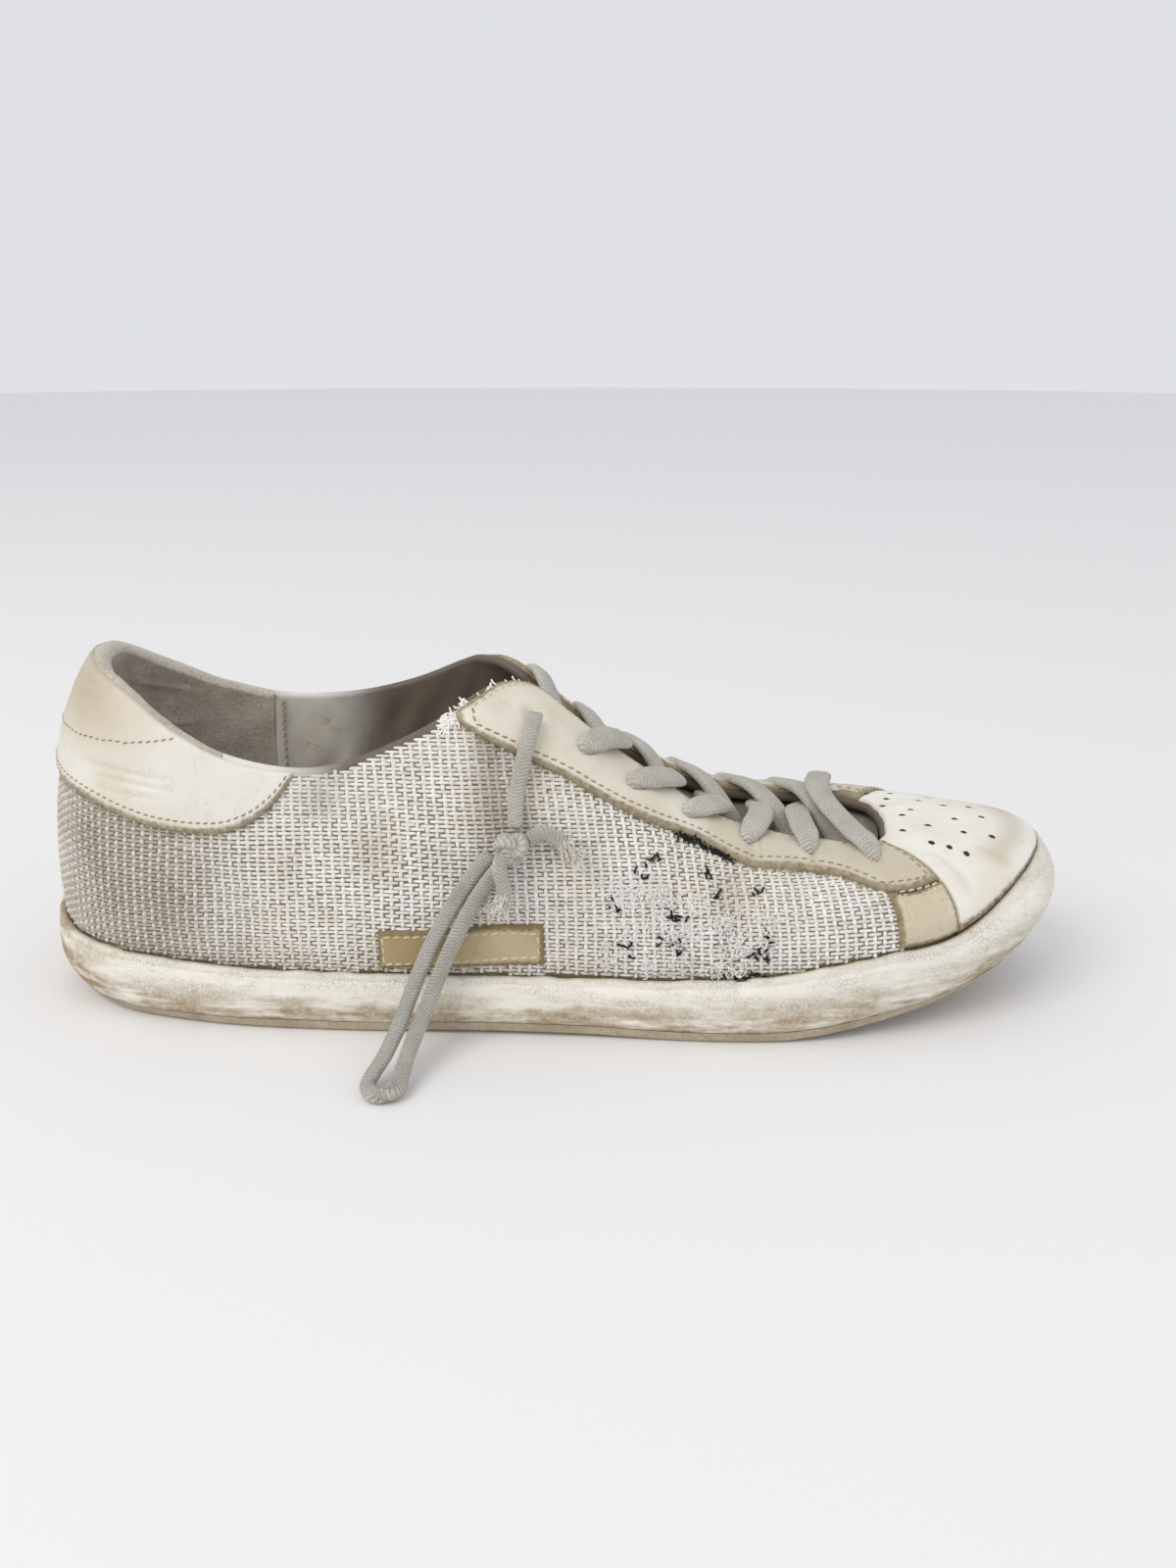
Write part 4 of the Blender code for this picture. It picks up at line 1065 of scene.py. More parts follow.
def lace_knot():
    """The knot: the lace wound on itself as a closed curve, x = sin t + 2 sin 2t, y = -1.1 sin 3t,
    z = cos t - 2 cos 2t, a third of that and scaled to the knot's size."""
    t = np.linspace(0, 2 * math.pi, 121)[:-1]
    curve = np.stack([np.sin(t) + 2 * np.sin(2 * t), -1.1 * np.sin(3 * t), np.cos(t) - 2 * np.cos(2 * t)], -1) / 3
    out = curve * (np.array(KNOT_SIZE) - 4.4) * MM / 2 * (1.05, 1.2, 1.0)
    out = np.concatenate([out, out[:1]])
    path = np.array(KNOT_CENTRE) * MM + out
    rings, uv = ribbon(path, np.cross(np.gradient(path, axis=0), out), 4.6 * MM, 3.4 * MM, sides=12)
    return tube_piece("tied_lace_knot", rings, LOOP, "lace_cotton", ("lace_knot",), uv)


add_hanging_laces()

# ---------------------------------------------------------------- sole

FOXING = foxing_finish()
FOOTBED = leather("worn_footbed_leather", 0xC4BAA8, 0xA3937A, 0x6E5F4A, 0x8F8166, 0.75, 0.6)
# Place of the nick in the foxing's lateral edge along the shoe
NICK_AT = 0.672


def add_foxing():
    """The cup sole's wall as a fine ring round the shoe. Its section follows the CAD's inset over
    the height; a shallow groove runs under the lip, the lip is rounded over, and the whole wall
    waves a little and bears one shallow nick near the ball."""
    turn = np.linspace(-math.pi, math.pi, 901)[:-1, None]
    low, high = underside(turn), foxing_top(turn)
    first = (OUTSOLE_THICKNESS + GAP) / (high - low)
    side = np.concatenate([np.linspace(0, 0.86, 12), [0.885, 0.91, 0.935, 0.96, 0.98]])
    share = first + (1 - first) * side
    arc = np.interp(turn, TURNS, FOOT_ARC)
    z = low + share * (high - low)
    nick = arc - flat(turn_of(NICK_AT), 0.0)[0]
    inset = foxing_inset(turn, share) - 0.3 * MM * waves(arc, z, 40 * MM, 5) - 0.12 * MM * waves(arc, z, 7 * MM, 6)
    inset = inset + 0.35 * MM * np.exp(-(((side - 0.885) / 0.022) ** 2))
    inset = inset + 1.3 * MM * np.exp(-((nick / (1.8 * MM)) ** 2)) * ease((side - 0.75) / 0.2)
    outer = ring(turn, inset, z)
    angle = np.linspace(0.25, 1.0, 7) * math.pi
    rim = inset[:, -1:] + FOXING_WALL / 2 * (1 - np.cos(angle)) * 0.95
    rise = high + 0.55 * MM * np.sin(angle) + 0.25 * MM * waves(arc, 0 * arc, 12 * MM, 8)
    crown = ring(turn, rim, rise - 1.6 * MM * np.exp(-((nick / (1.6 * MM)) ** 2)) - 0.3 * MM)
    down = np.linspace(0.12, 1, 4) * (high - cup_floor(turn))
    inside = ring(turn, inner_inset(turn) + 0 * down, high - down)
    # the sole's underside hides under the outsole, so its body closes a little above it
    foot = ring(turn, inset[:, :1] + 6 * MM, z[:, :1])
    points = np.concatenate([foot, outer, crown, inside], 1)
    level = np.concatenate([[0], side, np.ones(11)])
    glue = np.concatenate([[0], np.clip((side - 0.9) * 4, 0, 1), np.linspace(0.4, 1.6, 7), np.ones(4)])
    piece("cup_sole_rubber", points, grid_faces(*points.shape[:2], wrap=True), FOXING, "foxing_rubber", ("cup_sole",),
          share=level, glue=glue, heel=ease((0.12 - place(turn)) / 0.12))
    turn = np.linspace(0.02, math.pi - 0.02, 120)[:, None]
    across = np.linspace(0, 1, 15)[:, None]
    lateral, medial = (ring(side * turn, inner_inset(turn), cup_floor(turn)) for side in (1, -1))
    piece("cup_floor", lateral * (1 - across) + medial * across, grid_faces(120, 15), FOXING, "foxing_rubber",
          share=0.5, glue=0.0, heel=0.0)


def add_footbed():
    """The leather footbed: the CAD insole's outline and height, rounded down at its rim, dished by
    ease(distance to the rim/16 mm), with the heel's and the ball's print pressed a little deeper."""
    turn = np.linspace(0.03, math.pi - 0.03, 160)[:, None]
    across = np.concatenate([[0, 0.004, 0.015, 0.035], np.linspace(0.06, 0.94, 33), [0.965, 0.985, 0.996, 1]])
    inset = inner_inset(turn) + UPPER_WALL + 3 * GAP
    height = cup_floor(turn) + GAP + INSOLE_THICKNESS
    lateral, medial = ring(turn, inset, height), ring(-turn, inset, height)
    grid = lateral * (1 - across[:, None]) + medial * across[:, None]
    away = np.minimum(across, 1 - across) * np.linalg.norm(lateral - medial, axis=-1)
    drop = 2.2 * MM * (1 - np.sqrt(1 - (1 - np.clip(away / (2 * MM), 0, 1)) ** 2))
    dish = INSOLE_DISH * ease(away / (16 * MM))
    at = place(turn)
    prints = 1.3 * MM * np.exp(-(((at - 0.12) / 0.07) ** 2)) + 1.0 * MM * np.exp(-(((at - 0.7) / 0.09) ** 2))
    uneven = 0.3 * MM * waves(grid[..., 0], grid[..., 1], 21 * MM, 9)
    grid[..., 2] -= drop + dish + prints * ease(away / (14 * MM)) - uneven
    piece("footbed", grid, grid_faces(*grid.shape[:2])[:, ::-1], FOOTBED, "insole_leather", ("insole",),
          edge=NO_EDGE, trough=prints / MM * 0.4, aged=0.0)


add_foxing()
add_footbed()
frame_outsole = bpy.data.objects["outsole"]
frame_outsole.material_slots[0].material = fuzzy(
    "outsole_rubber_worn", (0xBDB19B, 0xA89A80, 0x877960), (14, 1.2), roughness=0.8, sheen=0.0)

# ---------------------------------------------------------------- the upper's cloth and lining

# the backing's olive is partly the cloth's own colour and partly painted shade of the gaps between the yarns
BACKING_AND_GAP_SHADE = fuzzy("olive_backing_felt_and_gap_shade", (0x83785F, 0x71654E, 0x9A8F7C), (9, 0.5))
LINING_LEATHER = leather("creased_lining_leather", 0xE2E0DA, 0xD2C9B8, 0x4C3722, 0x8F8166, 0.6, 0.5, coat=0.1)
FELT = fuzzy("grey_heel_felt", (0xCEC5B8, 0xB8AD9D, 0x8A7F6F), (10, 1.1), depth=1.0)

# Place of the seam between the felt and the side lining along the shoe, and a point in the middle
# of the heel, which the felt's pleats lean to
LINING_SEAM = 0.198
HEEL_MIDDLE = np.array([-90.0, 0, 0]) * MM

# The open weave: the pitch of its warps and of its wefts, length, width and height of a float and of
# a stub in mm, and how far the yarns stand off the upper
WARP = 2.6 * MM
WEFT = 1.15 * MM
FLOAT = (3.95, 0.9, 0.56)
STUB = (1.12, 1.5, 0.74)
YARN_LIFT = 0.05 * MM

# Brown bands up the weave: place along the shoe, lowest and highest climb, half width in mm, strength
STAIN_BANDS = (
    (0.455, 0.45, 0.97, 3.5, 0.55),
    (0.437, 0.40, 0.80, 3, 0.25),
    (0.30, 0.85, 0.99, 6, 0.25),
    (0.66, 0.02, 0.5, 4, 0.22),
)


def add_backing():
    """The cloth behind the open weave: the upper's own outer face, lying in the panels' shade. Its olive colour is
    partly painted shade of the gaps between the yarns.
    """
    turn = np.linspace(-math.pi, math.pi, 481)[:-1, None]
    climb = np.concatenate([[-0.25, -0.1], np.linspace(0, 1 - 4 * STEP, 46)])
    piece("quarter_backing", worn(turn, climb, -0.05 * MM), grid_faces(len(turn), len(climb), wrap=True), BACKING_AND_GAP_SHADE,
          "quarter_mesh", ("upper",), trough=relief(turn, climb) / MM)


def add_lining():
    """The lining: felt round the heel, rolled over the top edge, and leather along the sides and
    under the facings, each as one sheet over the edge of the opening."""
    join = turn_of(LINING_SEAM)
    turns = np.linspace(-join, join, 200)
    points, climbs = lip(turns, 0.9 * MM, 1.7 * MM, 0.99, 0.16, (4, 14, 60), crown=0.5)
    arc = np.interp(turns, TURNS, FOOT_ARC)[:, None]
    pleat = 0.35 * MM * waves(arc, climbs * 30 * MM, 17 * MM, 12)
    inward = unit((HEEL_MIDDLE - points) * (1, 1, 0))
    points = points + inward * pleat[..., None]
    piece("heel_felt", points, grid_faces(*points.shape[:2]), FELT, "collar_leather", trough=0.0)
    for side in (1, -1):
        turns = np.linspace(join, math.pi, 240) * side
        points, climbs = lip(turns, 0.25 * MM, 0.35 * MM, 0.975, 0.02, (4, 10, 46))
        arc = np.interp(wrapped(turns), TURNS, FOOT_ARC)[:, None]
        up = climbs * 60 * MM
        fold = waves(arc + 0.6 * up, 0.4 * up, 17 * MM, 15 + side) * (climbs < 1)
        points[..., 1] += side * 0.9 * MM * fold * ease(np.arange(len(climbs)) / 20 - 0.6)
        brown = ease((place(turns) - 0.235) / 0.10)[:, None] * np.ones(len(climbs))
        piece("side_lining_" + side_name(side), points, outwards(grid_faces(*points.shape[:2]), side), LINING_LEATHER,
              "quarter_mesh", edge=NO_EDGE, trough=np.abs(fold) * 0.5, aged=0.9 * brown)


def panel_low(rows, turn, side):
    """A side's column of a panel's lower edge."""
    return column(rows, side_name(side), turn)


def covered(turn, climb, side, margin):
    """Whether a place on the quarter lies more than the margin under a panel."""
    at = place(turn)
    spare = margin / height_of(turn)
    under = (at < COLLAR_PANEL["at"][-1]) & (climb > panel_low(COLLAR_PANEL, turn, side) + spare)
    stay = (at > EYESTAY["at"][0] + 0.003) & (climb > panel_low(EYESTAY, turn, side) + spare)
    return under | stay | (at > TAB_FROM + 0.006)


def stained(x, y, side):
    """How much each yarn of the weave is browned, from 0 to 1: dirt in brown bands where the ankle folds it and in soft
    patches, and a darker band along the weave's foot next to the foxing."""
    total = 0.13 * np.clip(waves(x, y, 30 * MM, 21) + 0.1, 0, 1)
    here = np.stack([x, y], -1)
    for at, low, high, width, strength in STAIN_BANDS:
        away, _ = to_path(here, flat(turn_of([at, at + 0.008], side), np.array([low, high])))
        total = total + strength * np.exp(-((away / (width * MM)) ** 2))
    # darker along the weave's foot, next to the foxing
    return np.clip(total + np.exp(-((y / (4 * MM)) ** 2)) * 0.25, 0, 1)


def add_weave(side):
    """The open basket weave of the quarter, yarn by yarn: a warp every WARP round the shoe and a
    weft every WEFT up it. Where column and row add up to an even number the weft lies over the
    warp as a long float, and elsewhere the warp shows as a short upright stub."""
    ends = FOOT_ARC[0] if side < 0 else FOOT_ARC[-1]
    x = np.arange(0.5 if side > 0 else -0.5, ends / WARP, side) * WARP
    y = np.arange(-2, 100) * WEFT
    i, j = np.meshgrid(np.arange(len(x)), np.arange(len(y)), indexing="ij")
    x, y = x[i].ravel(), y[j].ravel()
    draw = np.random.default_rng(30 + side)
    x = x + draw.normal(0, 0.10 * MM, x.size) + 0.5 * MM * waves(x, y, 45 * MM, 33)
    y = y + draw.normal(0, 0.05 * MM, y.size) + 0.7 * MM * waves(x, y, 60 * MM, 34)
    turn, climb, share = unflat(x, y)
    keep = (share > 0.006) & (share < 1 - 1.0 * MM / height_of(turn)) & ~covered(turn, climb, side, 1.2 * MM)
    x, y, turn, climb = x[keep], y[keep], turn[keep], climb[keep]
    is_float = ((i + j) % 2 == 0).ravel()[keep]

    def at(dx, dy):
        return worn(*unflat(x + dx, y + dy)[:2], YARN_LIFT)

    reach = 0.5 * MM
    along = unit(at(reach, 0) - at(-reach, 0))
    up = skin_normal(turn, climb)
    level = np.cross(up, along)
    across = np.where(is_float[:, None], level * np.sign(level[:, 2:]), unit(at(0, reach) - at(0, -reach)))
    # floats are greyer than stubs on average, as painted shade: they lie lower, between the stubs; the spread round
    # that is each yarn's own greyness
    tone = np.clip(draw.normal(np.where(is_float, 0.42, 0.12), 0.18), 0, 1)
    length = np.where(is_float, draw.normal(FLOAT[0], 0.12, x.size), STUB[0]) * MM
    width = np.where(is_float, draw.normal(FLOAT[1], 0.05, x.size), STUB[1]) * MM
    height = np.where(is_float, FLOAT[2], STUB[2]) * MM * draw.uniform(0.85, 1.15, x.size)
    # round the heel the yarns brown, floats more than stubs: partly dirt, partly painted shade under the floats
    heel = ease((0.26 - place(turn)) / 0.14)
    stain = np.clip(stained(x, y, side) + np.where(is_float, 0.62, 0.25) * heel, 0, 1)
    points, faces = mounds(worn(turn, climb, YARN_LIFT), along, across, up, length, width, height)
    # a medial turn runs the other way round, and across was turned upright, so both sides face out
    faces = outwards(faces, np.sum(np.cross(along, across) * up, -1).mean())
    step = len(points) // len(turn)
    piece("woven_quarter_" + side_name(side), points, faces, YARN, "quarter_mesh",
          tone=np.repeat(tone, step), stain=np.repeat(stain, step))


YARN = yarn("cotton_basket_weave")
add_backing()
add_lining()
add_weave(1)
add_weave(-1)

# ---------------------------------------------------------------- leather panels

COLLAR = leather("smooth_heel_leather", 0xE2DED6, 0xDAD2C1, 0xB7A88C, 0x84785A, 0.42, 0.9,
                 raw_width=2.3, cracks=0.6, coat=0.12)
FACING = leather("cream_facing_leather", 0xE4DECF, 0xD8CDB5, 0xA29374, 0x85775A, 0.62, 0.7,
                 raw_width=2.5, cracks=0.35)
TAB = leather("cream_tab_leather", 0xDAD0B8, 0xCABD9C, 0x968767, 0x7C6E50, 0.65, 0.7, raw_width=1.8, cracks=0.3)
TOE = leather("smooth_toe_leather", 0xF0EDE5, 0xE6DECC, 0xB09E7C, 0x6B5436, 0.5, 0.8,
              raw_width=3.3, cracks=0.2, coat=0.08)
TAG_LEATHER = leather("bare_tag_leather", 0xBDAC8A, 0xA9936A, 0x8F7F5C, 0x7D6F50, 0.7, 0.6, raw_width=1.5)
SUEDE = fuzzy("grey_toe_suede", (0xA89F92, 0x958A7B, 0x7C7060), (7, 0.4), depth=0.6, sheen=0.5)
GLUE = fuzzy("brown_glue_line", (0x6B5436, 0x7D6645, 0x54412A), (5, 0.5), sheen=0.0)
TONGUE_FELT = fuzzy("grey_tongue_felt", (0xA9A196, 0x948B7E, 0x75695B), (9, 0.5), depth=0.6)


def add_collar_panel():
    """The smooth leather round the heel, browner towards its top at the back."""

    def aged(turn, climb):
        at = place(turn)
        return 0.8 * ease((climb - 0.6) / 0.3) * ease((0.14 - at) / 0.12) + 0.4 * ease((0.014 - at) / 0.013)

    reach = turn_of(COLLAR_PANEL["at"][-1])
    panel("heel_leather", -reach, reach, lambda turn: sided(COLLAR_PANEL, turn), PANEL_TOP, OVERLAY, COLLAR,
          "collar_leather", ("collar_panel",), raw=("low",), aged=aged)


def eyelet(number, side):
    """The turn and climb of an eyelet, counted from the top one."""
    return turn_of(EYELETS[side_name(side) + "_at"][number], side), EYELETS["climb"][number]


def funnels(side):
    """How far the facing is drawn in at its eyelets: by exp(-(distance/1.9 mm)^2), with a faint
    ridge 4 mm away."""
    centres = [flat(*eyelet(number, side)) for number in range(len(EYELETS["climb"]))]

    def depth(turn, climb):
        here = flat(turn, climb)
        total = np.zeros(turn.shape)
        for centre in centres:
            away = np.linalg.norm(here - centre, axis=-1) / MM
            total += 1.9 * MM * np.exp(-((away / 1.9) ** 2)) - 0.25 * MM * np.exp(-(((away - 4) / 1.5) ** 2))
        return total

    return depth


def add_facings(side):
    """The facing along the throat, browner towards the toe, and its tab down to the foxing."""
    name = side_name(side)
    first, last = turn_of([EYESTAY["at"][0], EYESTAY_TO], side)
    panel("facing_" + name, first, last, lambda turn: panel_low(EYESTAY, turn, side), PANEL_TOP, OVERLAY, FACING,
          "eyestay_leather", ("eyestay_" + name,), dips=funnels(side),
          aged=lambda turn, climb: 0.34 * ease((place(turn) - 0.63) / 0.06))
    panel("tab_" + name, turn_of(TAB_FROM, side), last, TOE_PATCH_LOW,
          lambda turn: panel_low(EYESTAY, turn, side) - 0.2 * BUTT, OVERLAY, TAB, "tab_leather",
          ("eyestay_tab_" + name,), pitch=0.9 * MM, aged=lambda turn, climb: 0.25 * ease((0.3 - climb) / 0.3))


# The holes punched in the toe leather, as turn and climb
TOE_HOLES = np.array([
    (3.753, 0.79), (3.689, 0.89), (3.536, 0.965), (2.43, 0.955), (2.409, 0.90), (3.564, 0.74), (3.283, 0.87),
    (2.65, 0.91), (3.358, 0.70), (2.819, 0.81), (2.585, 0.73), (3.489, 0.49), (2.995, 0.70), (2.605, 0.63),
    (2.798, 0.63), (2.618, 0.52), (3.088, 0.56), (2.826, 0.47), (3.62, 0.62), (3.74, 0.66), (3.30, 0.58),
    (3.05, 0.92), (3.85, 0.90), (3.83, 0.72),
])


def punched(turn, climb):
    """The toe leather's holes: each draws it down by 0.8 mm times exp(-(distance/0.9 mm)^4)."""
    total = np.zeros(turn.shape)
    near = over(turn, climb, 0)
    for hole in over(*TOE_HOLES.T, 0):
        total += 0.8 * MM * np.exp(-((np.linalg.norm(near - hole, axis=-1) / (0.9 * MM)) ** 4))
    return total


def add_toe():
    """The leather over the toes, punched with its holes, the brown glue line under it, and the suede
    patch low on its medial side."""
    reach = turn_of(EYESTAY_TO)
    patch_end = turn_of(TOE_PATCH["at"][-1])

    def patch_top(turn):
        return column(TOE_PATCH, "medial", turn)

    def low(turn):
        angle, lateral = half_turn(turn)
        return np.where(~lateral & (angle <= patch_end + STEP), patch_top(turn) - 0.02, 0.022)

    def aged(turn, climb):
        scuff = 0.45 * np.exp(-(((climb - 0.36) / 0.12) ** 2)) * ease((place(turn) - 0.93) / 0.03)
        return 0.5 * ease((0.10 - climb) / 0.1) + scuff

    panel("toe_leather", reach, 2 * math.pi - reach, low, PANEL_TOP, TOE_LEATHER, TOE, "toe_leather", ("toe_box",),
          raw=("low",), dips=punched, aged=aged)
    turn, climb = np.linspace(reach, 2 * math.pi - reach, 160)[:, None], np.linspace(-0.02, 0.07, 6)
    piece("toe_glue_line", worn(turn, climb, 0.75 * MM), grid_faces(160, 6), GLUE, "toe_leather", trough=0.0)
    panel("toe_suede_patch", -(reach + 0.5 * BUTT), -patch_end, TOE_PATCH_LOW - 0.02, patch_top, OVERLAY, SUEDE,
          "patch_suede", ("toe_patch",), pitch=0.9 * MM)


def add_tag():
    """The small bare tag low on the lateral side."""
    low, high = (lambda turn, name=name: column(TAG, name, turn) for name in ("low", "high"))
    panel("side_tag_leather", *turn_of(TAG["at"]), low, high, TAG_THICKNESS, TAG_LEATHER, "tag_leather",
          ("side_tag",), pitch=0.7 * MM)


def add_tongue():
    """The tongue under the throat: rows from facing to facing, hung a little in the middle, closed
    below by the same rows let down by its thickness."""
    loops = []
    wide, lift = np.linspace(0.84, 1.0, 9), -UPPER_WALL - TONGUE_GAP - 1.4 * MM
    share = np.linspace(0, 1, 8)[1:-1, None]
    for at in np.linspace(0.895, 0.53, 70):
        lateral, medial = (over(turn_of(at, side), wide[::side], lift) for side in (1, -1))
        top = np.concatenate([lateral, lateral[-1] * (1 - share) + medial[0] * share, medial])
        top[:, 2] += 0.5 * MM * waves(top[:, 0], top[:, 1], 22 * MM, 40)
        loops.append(np.concatenate([top, top[::-1] - np.array([0, 0, TONGUE_THICKNESS])]))
    tube_piece("tongue_felt", np.array(loops)[::-1], TONGUE_FELT, "tongue_felt", ("tongue",))


add_collar_panel()
for side in (1, -1):
    add_facings(side)
add_toe()
add_tag()
add_tongue()

# How far a band runs along the throat's edge before it crosses, as a share of the way to the next
# eyelet, for each lateral eyelet and for the medial ones, and how high it rises on each side in mm
LATERAL_RUN = (0.8, 0.8, 0.75, 0.5, 0.25, 0.03, 0.0)
MEDIAL_RUN = 0.45
LATERAL_HOP = 4.3
MEDIAL_HOP = 2.6


def add_lacing():
    """The laced part: from each eyelet a flat band rises over the facing and the throat's edge and
    dives under the other facing towards its next eyelet. The bottom bar runs straight across."""
    last_pair = len(EYELETS["climb"]) - 1
    routes = [(n, n + 1, side) for n in range(last_pair) for side in (-1, 1) if n or side < 0]
    rings, maps = [], []
    dive, tucked, out = -UPPER_WALL - 1.2 * MM, -1.2 * MM, 1.6 * MM
    for first, last, side in routes + [(last_pair, last_pair, 1)]:
        bar = first == last
        (start, start_up), (end, end_up) = eyelet(first, side), eyelet(last, -side)
        hop = (LATERAL_HOP if side > 0 else MEDIAL_HOP) * MM
        under = hop if bar else dive
        near = start + (LATERAL_RUN[first] if side > 0 else MEDIAL_RUN) * (eyelet(last, side)[0] - start) * (not bar)
        across_from = eyelet(first, -side)[0]
        far = across_from + (0 if bar else 0.9 if side > 0 else 1.06) * (end - across_from)
        turns, climbs, lifts = np.array([
            (start, start_up - 0.012, tucked), (start, start_up + 0.004, out),
            ((start * 3 + near * 2) / 5, start_up * 0.62 + 0.38, hop - 0.6 * MM), (near, 0.99, hop),
            (far, 0.985, under), ((end * 4 + far) / 5, end_up * 0.7 + 0.3, under),
            (end, end_up + 0.004, out if bar else dive), (end, end_up - 0.012, tucked if bar else dive),
        ]).T
        path, up = (smooth_path(rows, 44) for rows in (over(turns, climbs, lifts), skin_normal(turns, climbs)))
        share = np.linspace(0, 1, 44)
        taper = 0.6 + 0.4 * ease(np.minimum(share, 1 - share) * 6)
        ring_points, uv = ribbon(path, np.cross(up, np.gradient(path, axis=0)), 1.16 * LACE_WIDTH * taper, 3.0 * MM)
        rings.append(ring_points)
        maps.append(uv)
    piece("laced_bands", rings, tube_faces(*rings[0].shape[:2], len(rings)), LACE, "lace_cotton",
          ("lace_crossings",), maps)


add_lacing()

# ---------------------------------------------------------------- stitches, threads, lint and wear

KHAKI_THREAD = fuzzy("khaki_sewing_thread", (0xAA9C78, 0x948660, 0x75684A), (6, 0.4))
CREAM_THREAD = fuzzy("cream_sewing_thread", (0xE4DBC4, 0xD2C6A6, 0xA29370), (6, 0.4))
BLACK_THREAD = fuzzy("black_cotton_thread", (0x1E1B1A, 0x121113, 0x2C2927), (4, 0.3), sheen=0.0)
LINT = fuzzy("white_cotton_lint", (0xFCFBF9, 0xF7F4F0, 0xE6E1D8), (5, 0.4))
# near-black painted shade for the insides of the eyelets and the toe's punched holes
HOLE_SHADE = fuzzy("painted_hole_shade", (0x2E2820, 0x3B3328, 0x211D17), (3, 0.4), sheen=0.0)


# How far a stitch is sunk into its leather
STITCH_SUNK = 0.03 * MM


def spaced(turns, climbs, pitch):
    """Places on a route over the upper, one every `pitch`, as turns and climbs."""
    turns, climbs = np.broadcast_arrays(np.asarray(turns, float), np.asarray(climbs, float))
    run = lengths_of(over(turns, climbs, 0), 0)
    count = max(2, int(run[-1] / pitch))
    where = (np.arange(count) + 0.5) * run[-1] / count
    return np.interp(where, run, turns), np.interp(where, run, climbs)


def stitches(name, routes, lift, finish, slot, pitch=2.4, length=1.75, thick=0.75, slant=0.12):
    """Rows of lockstitches, with sizes in mm. Each stitch is a small cushion that lies along its
    route on the leather, turned by `slant` radians."""
    parts = []
    for turns, climbs in routes:
        turn, climb = spaced(turns, climbs, pitch * MM)
        centre = worn(turn, climb, lift)
        up = skin_normal(turn, climb)
        along = square_to(np.gradient(centre, axis=0), up)
        across = np.cross(up, along)
        parts.append((centre, along * math.cos(slant) + across * math.sin(slant), across, up))
    centre, along, across, up = (np.concatenate(rows) for rows in zip(*parts))
    points, faces = mounds(centre, along, across, up, length * MM, thick * MM, 0.38 * MM)
    piece(name, points, faces, finish, slot, trough=0.0)


def add_stitches():
    """The visible seams: the heel's, the facings' and tabs', the tag's, the suede's, the lining's."""
    face = OVERLAY_GAP + OVERLAY - STITCH_SUNK
    reach = turn_of(COLLAR_PANEL["at"][-1])
    turns = np.linspace(-reach, reach, 241)
    low = sided(COLLAR_PANEL, turns) + 3.0 * MM / height_of(turns)
    seam_at = np.array([0.0, 0.015, 0.044, 0.071, 0.098, 0.121, 0.145])
    seam_up = np.array([0.71, 0.72, 0.74, 0.77, 0.82, 0.89, 0.975])
    seam = np.concatenate([turn_of(seam_at[:0:-1], -1), turn_of(seam_at)])
    inside = low < 0.985
    stitches("heel_stitching", [(turns[inside], low[inside]), (seam, np.concatenate([seam_up[:0:-1], seam_up]))],
             face, KHAKI_THREAD, "collar_leather", pitch=2.1, length=1.5, thick=0.5)
    for side in (1, -1):
        name = side_name(side)
        turns = turn_of(np.linspace(0.447, 0.806, 120), side)
        low = panel_low(EYESTAY, turns, side) + 3.6 * MM / height_of(turns)
        high = 1 - 2.9 * MM / height_of(turns)
        stitches("throat_stitching_" + name, [(turns, high)], face, CREAM_THREAD, "eyestay_leather", thick=0.5)
        ends = (((0.8, 0.83, 0.868), (high[-1], 0.92, 0.90)), ((0.868, 0.868), (0.90, 0.52)),
                ((0.806, 0.815, 0.868), (low[-1], 0.53, 0.52)), ((0.447, 0.4475), (low[0], high[0])))
        rows = [(turns, low)] + [(turn_of(ats, side), climbs) for ats, climbs in ends]
        stitches("facing_stitching_" + name, rows, face, KHAKI_THREAD, "eyestay_leather", thick=0.62)
        rows = [(turn_of([at, at], side), [0.07, 0.44]) for at in (0.8265, 0.8325, 0.866, 0.8725)]
        rows += [(turn_of([0.826, 0.873], side), [climb, climb]) for climb in (0.445, 0.395)]
        stitches("tab_stitching_" + name, rows, face, CREAM_THREAD, "tab_leather", thick=0.65)
    first, last = TAG["at"]
    turns = turn_of(np.linspace(first + 0.0052, last - 0.0052, 60))
    low, high = column(TAG, "low", turns) + 0.024, column(TAG, "high", turns) - 0.024
    rows = [(turns, low), (turns, high)] + [(turns[[end, end]], [low[end], high[end]]) for end in (0, -1)]
    stitches("tag_stitching", rows, OVERLAY_GAP + TAG_THICKNESS - STITCH_SUNK, CREAM_THREAD, "tag_leather",
             pitch=2.6, length=1.9, thick=0.6)
    turns = -np.linspace(turn_of(0.888), turn_of(0.982), 80)
    top = column(TOE_PATCH, "medial", turns) - 2.2 * MM / height_of(turns)
    stitches("toe_patch_stitching", [(turns, top)], face, CREAM_THREAD, "patch_suede")
    for side in (1, -1):
        route = (turn_of([LINING_SEAM + 0.011] * 2, side), [0.30, 0.985])
        stitches("lining_stitching_" + side_name(side), [route], -UPPER_WALL - 1.35 * MM, KHAKI_THREAD,
                 "quarter_mesh", pitch=2.3, thick=0.6, slant=0.5)


def add_seam_strips():
    """The white leather strip that covers the seam between the felt and the side lining."""
    ats = LINING_SEAM + np.linspace(-0.004, 0.014, 9)[:, None]
    bulge = np.sqrt(np.clip(1 - np.linspace(-1, 1, 9)[:, None] ** 2, 0, 1))
    for side in (1, -1):
        points = worn(turn_of(ats, side), np.linspace(0.10, 0.99, 60), -UPPER_WALL - 0.2 * MM - 1.2 * MM * bulge)
        piece("lining_seam_strip_" + side_name(side), points, outwards(grid_faces(9, 60), -side), COLLAR,
              "collar_leather", edge=NO_EDGE, trough=0.0, aged=0.0)


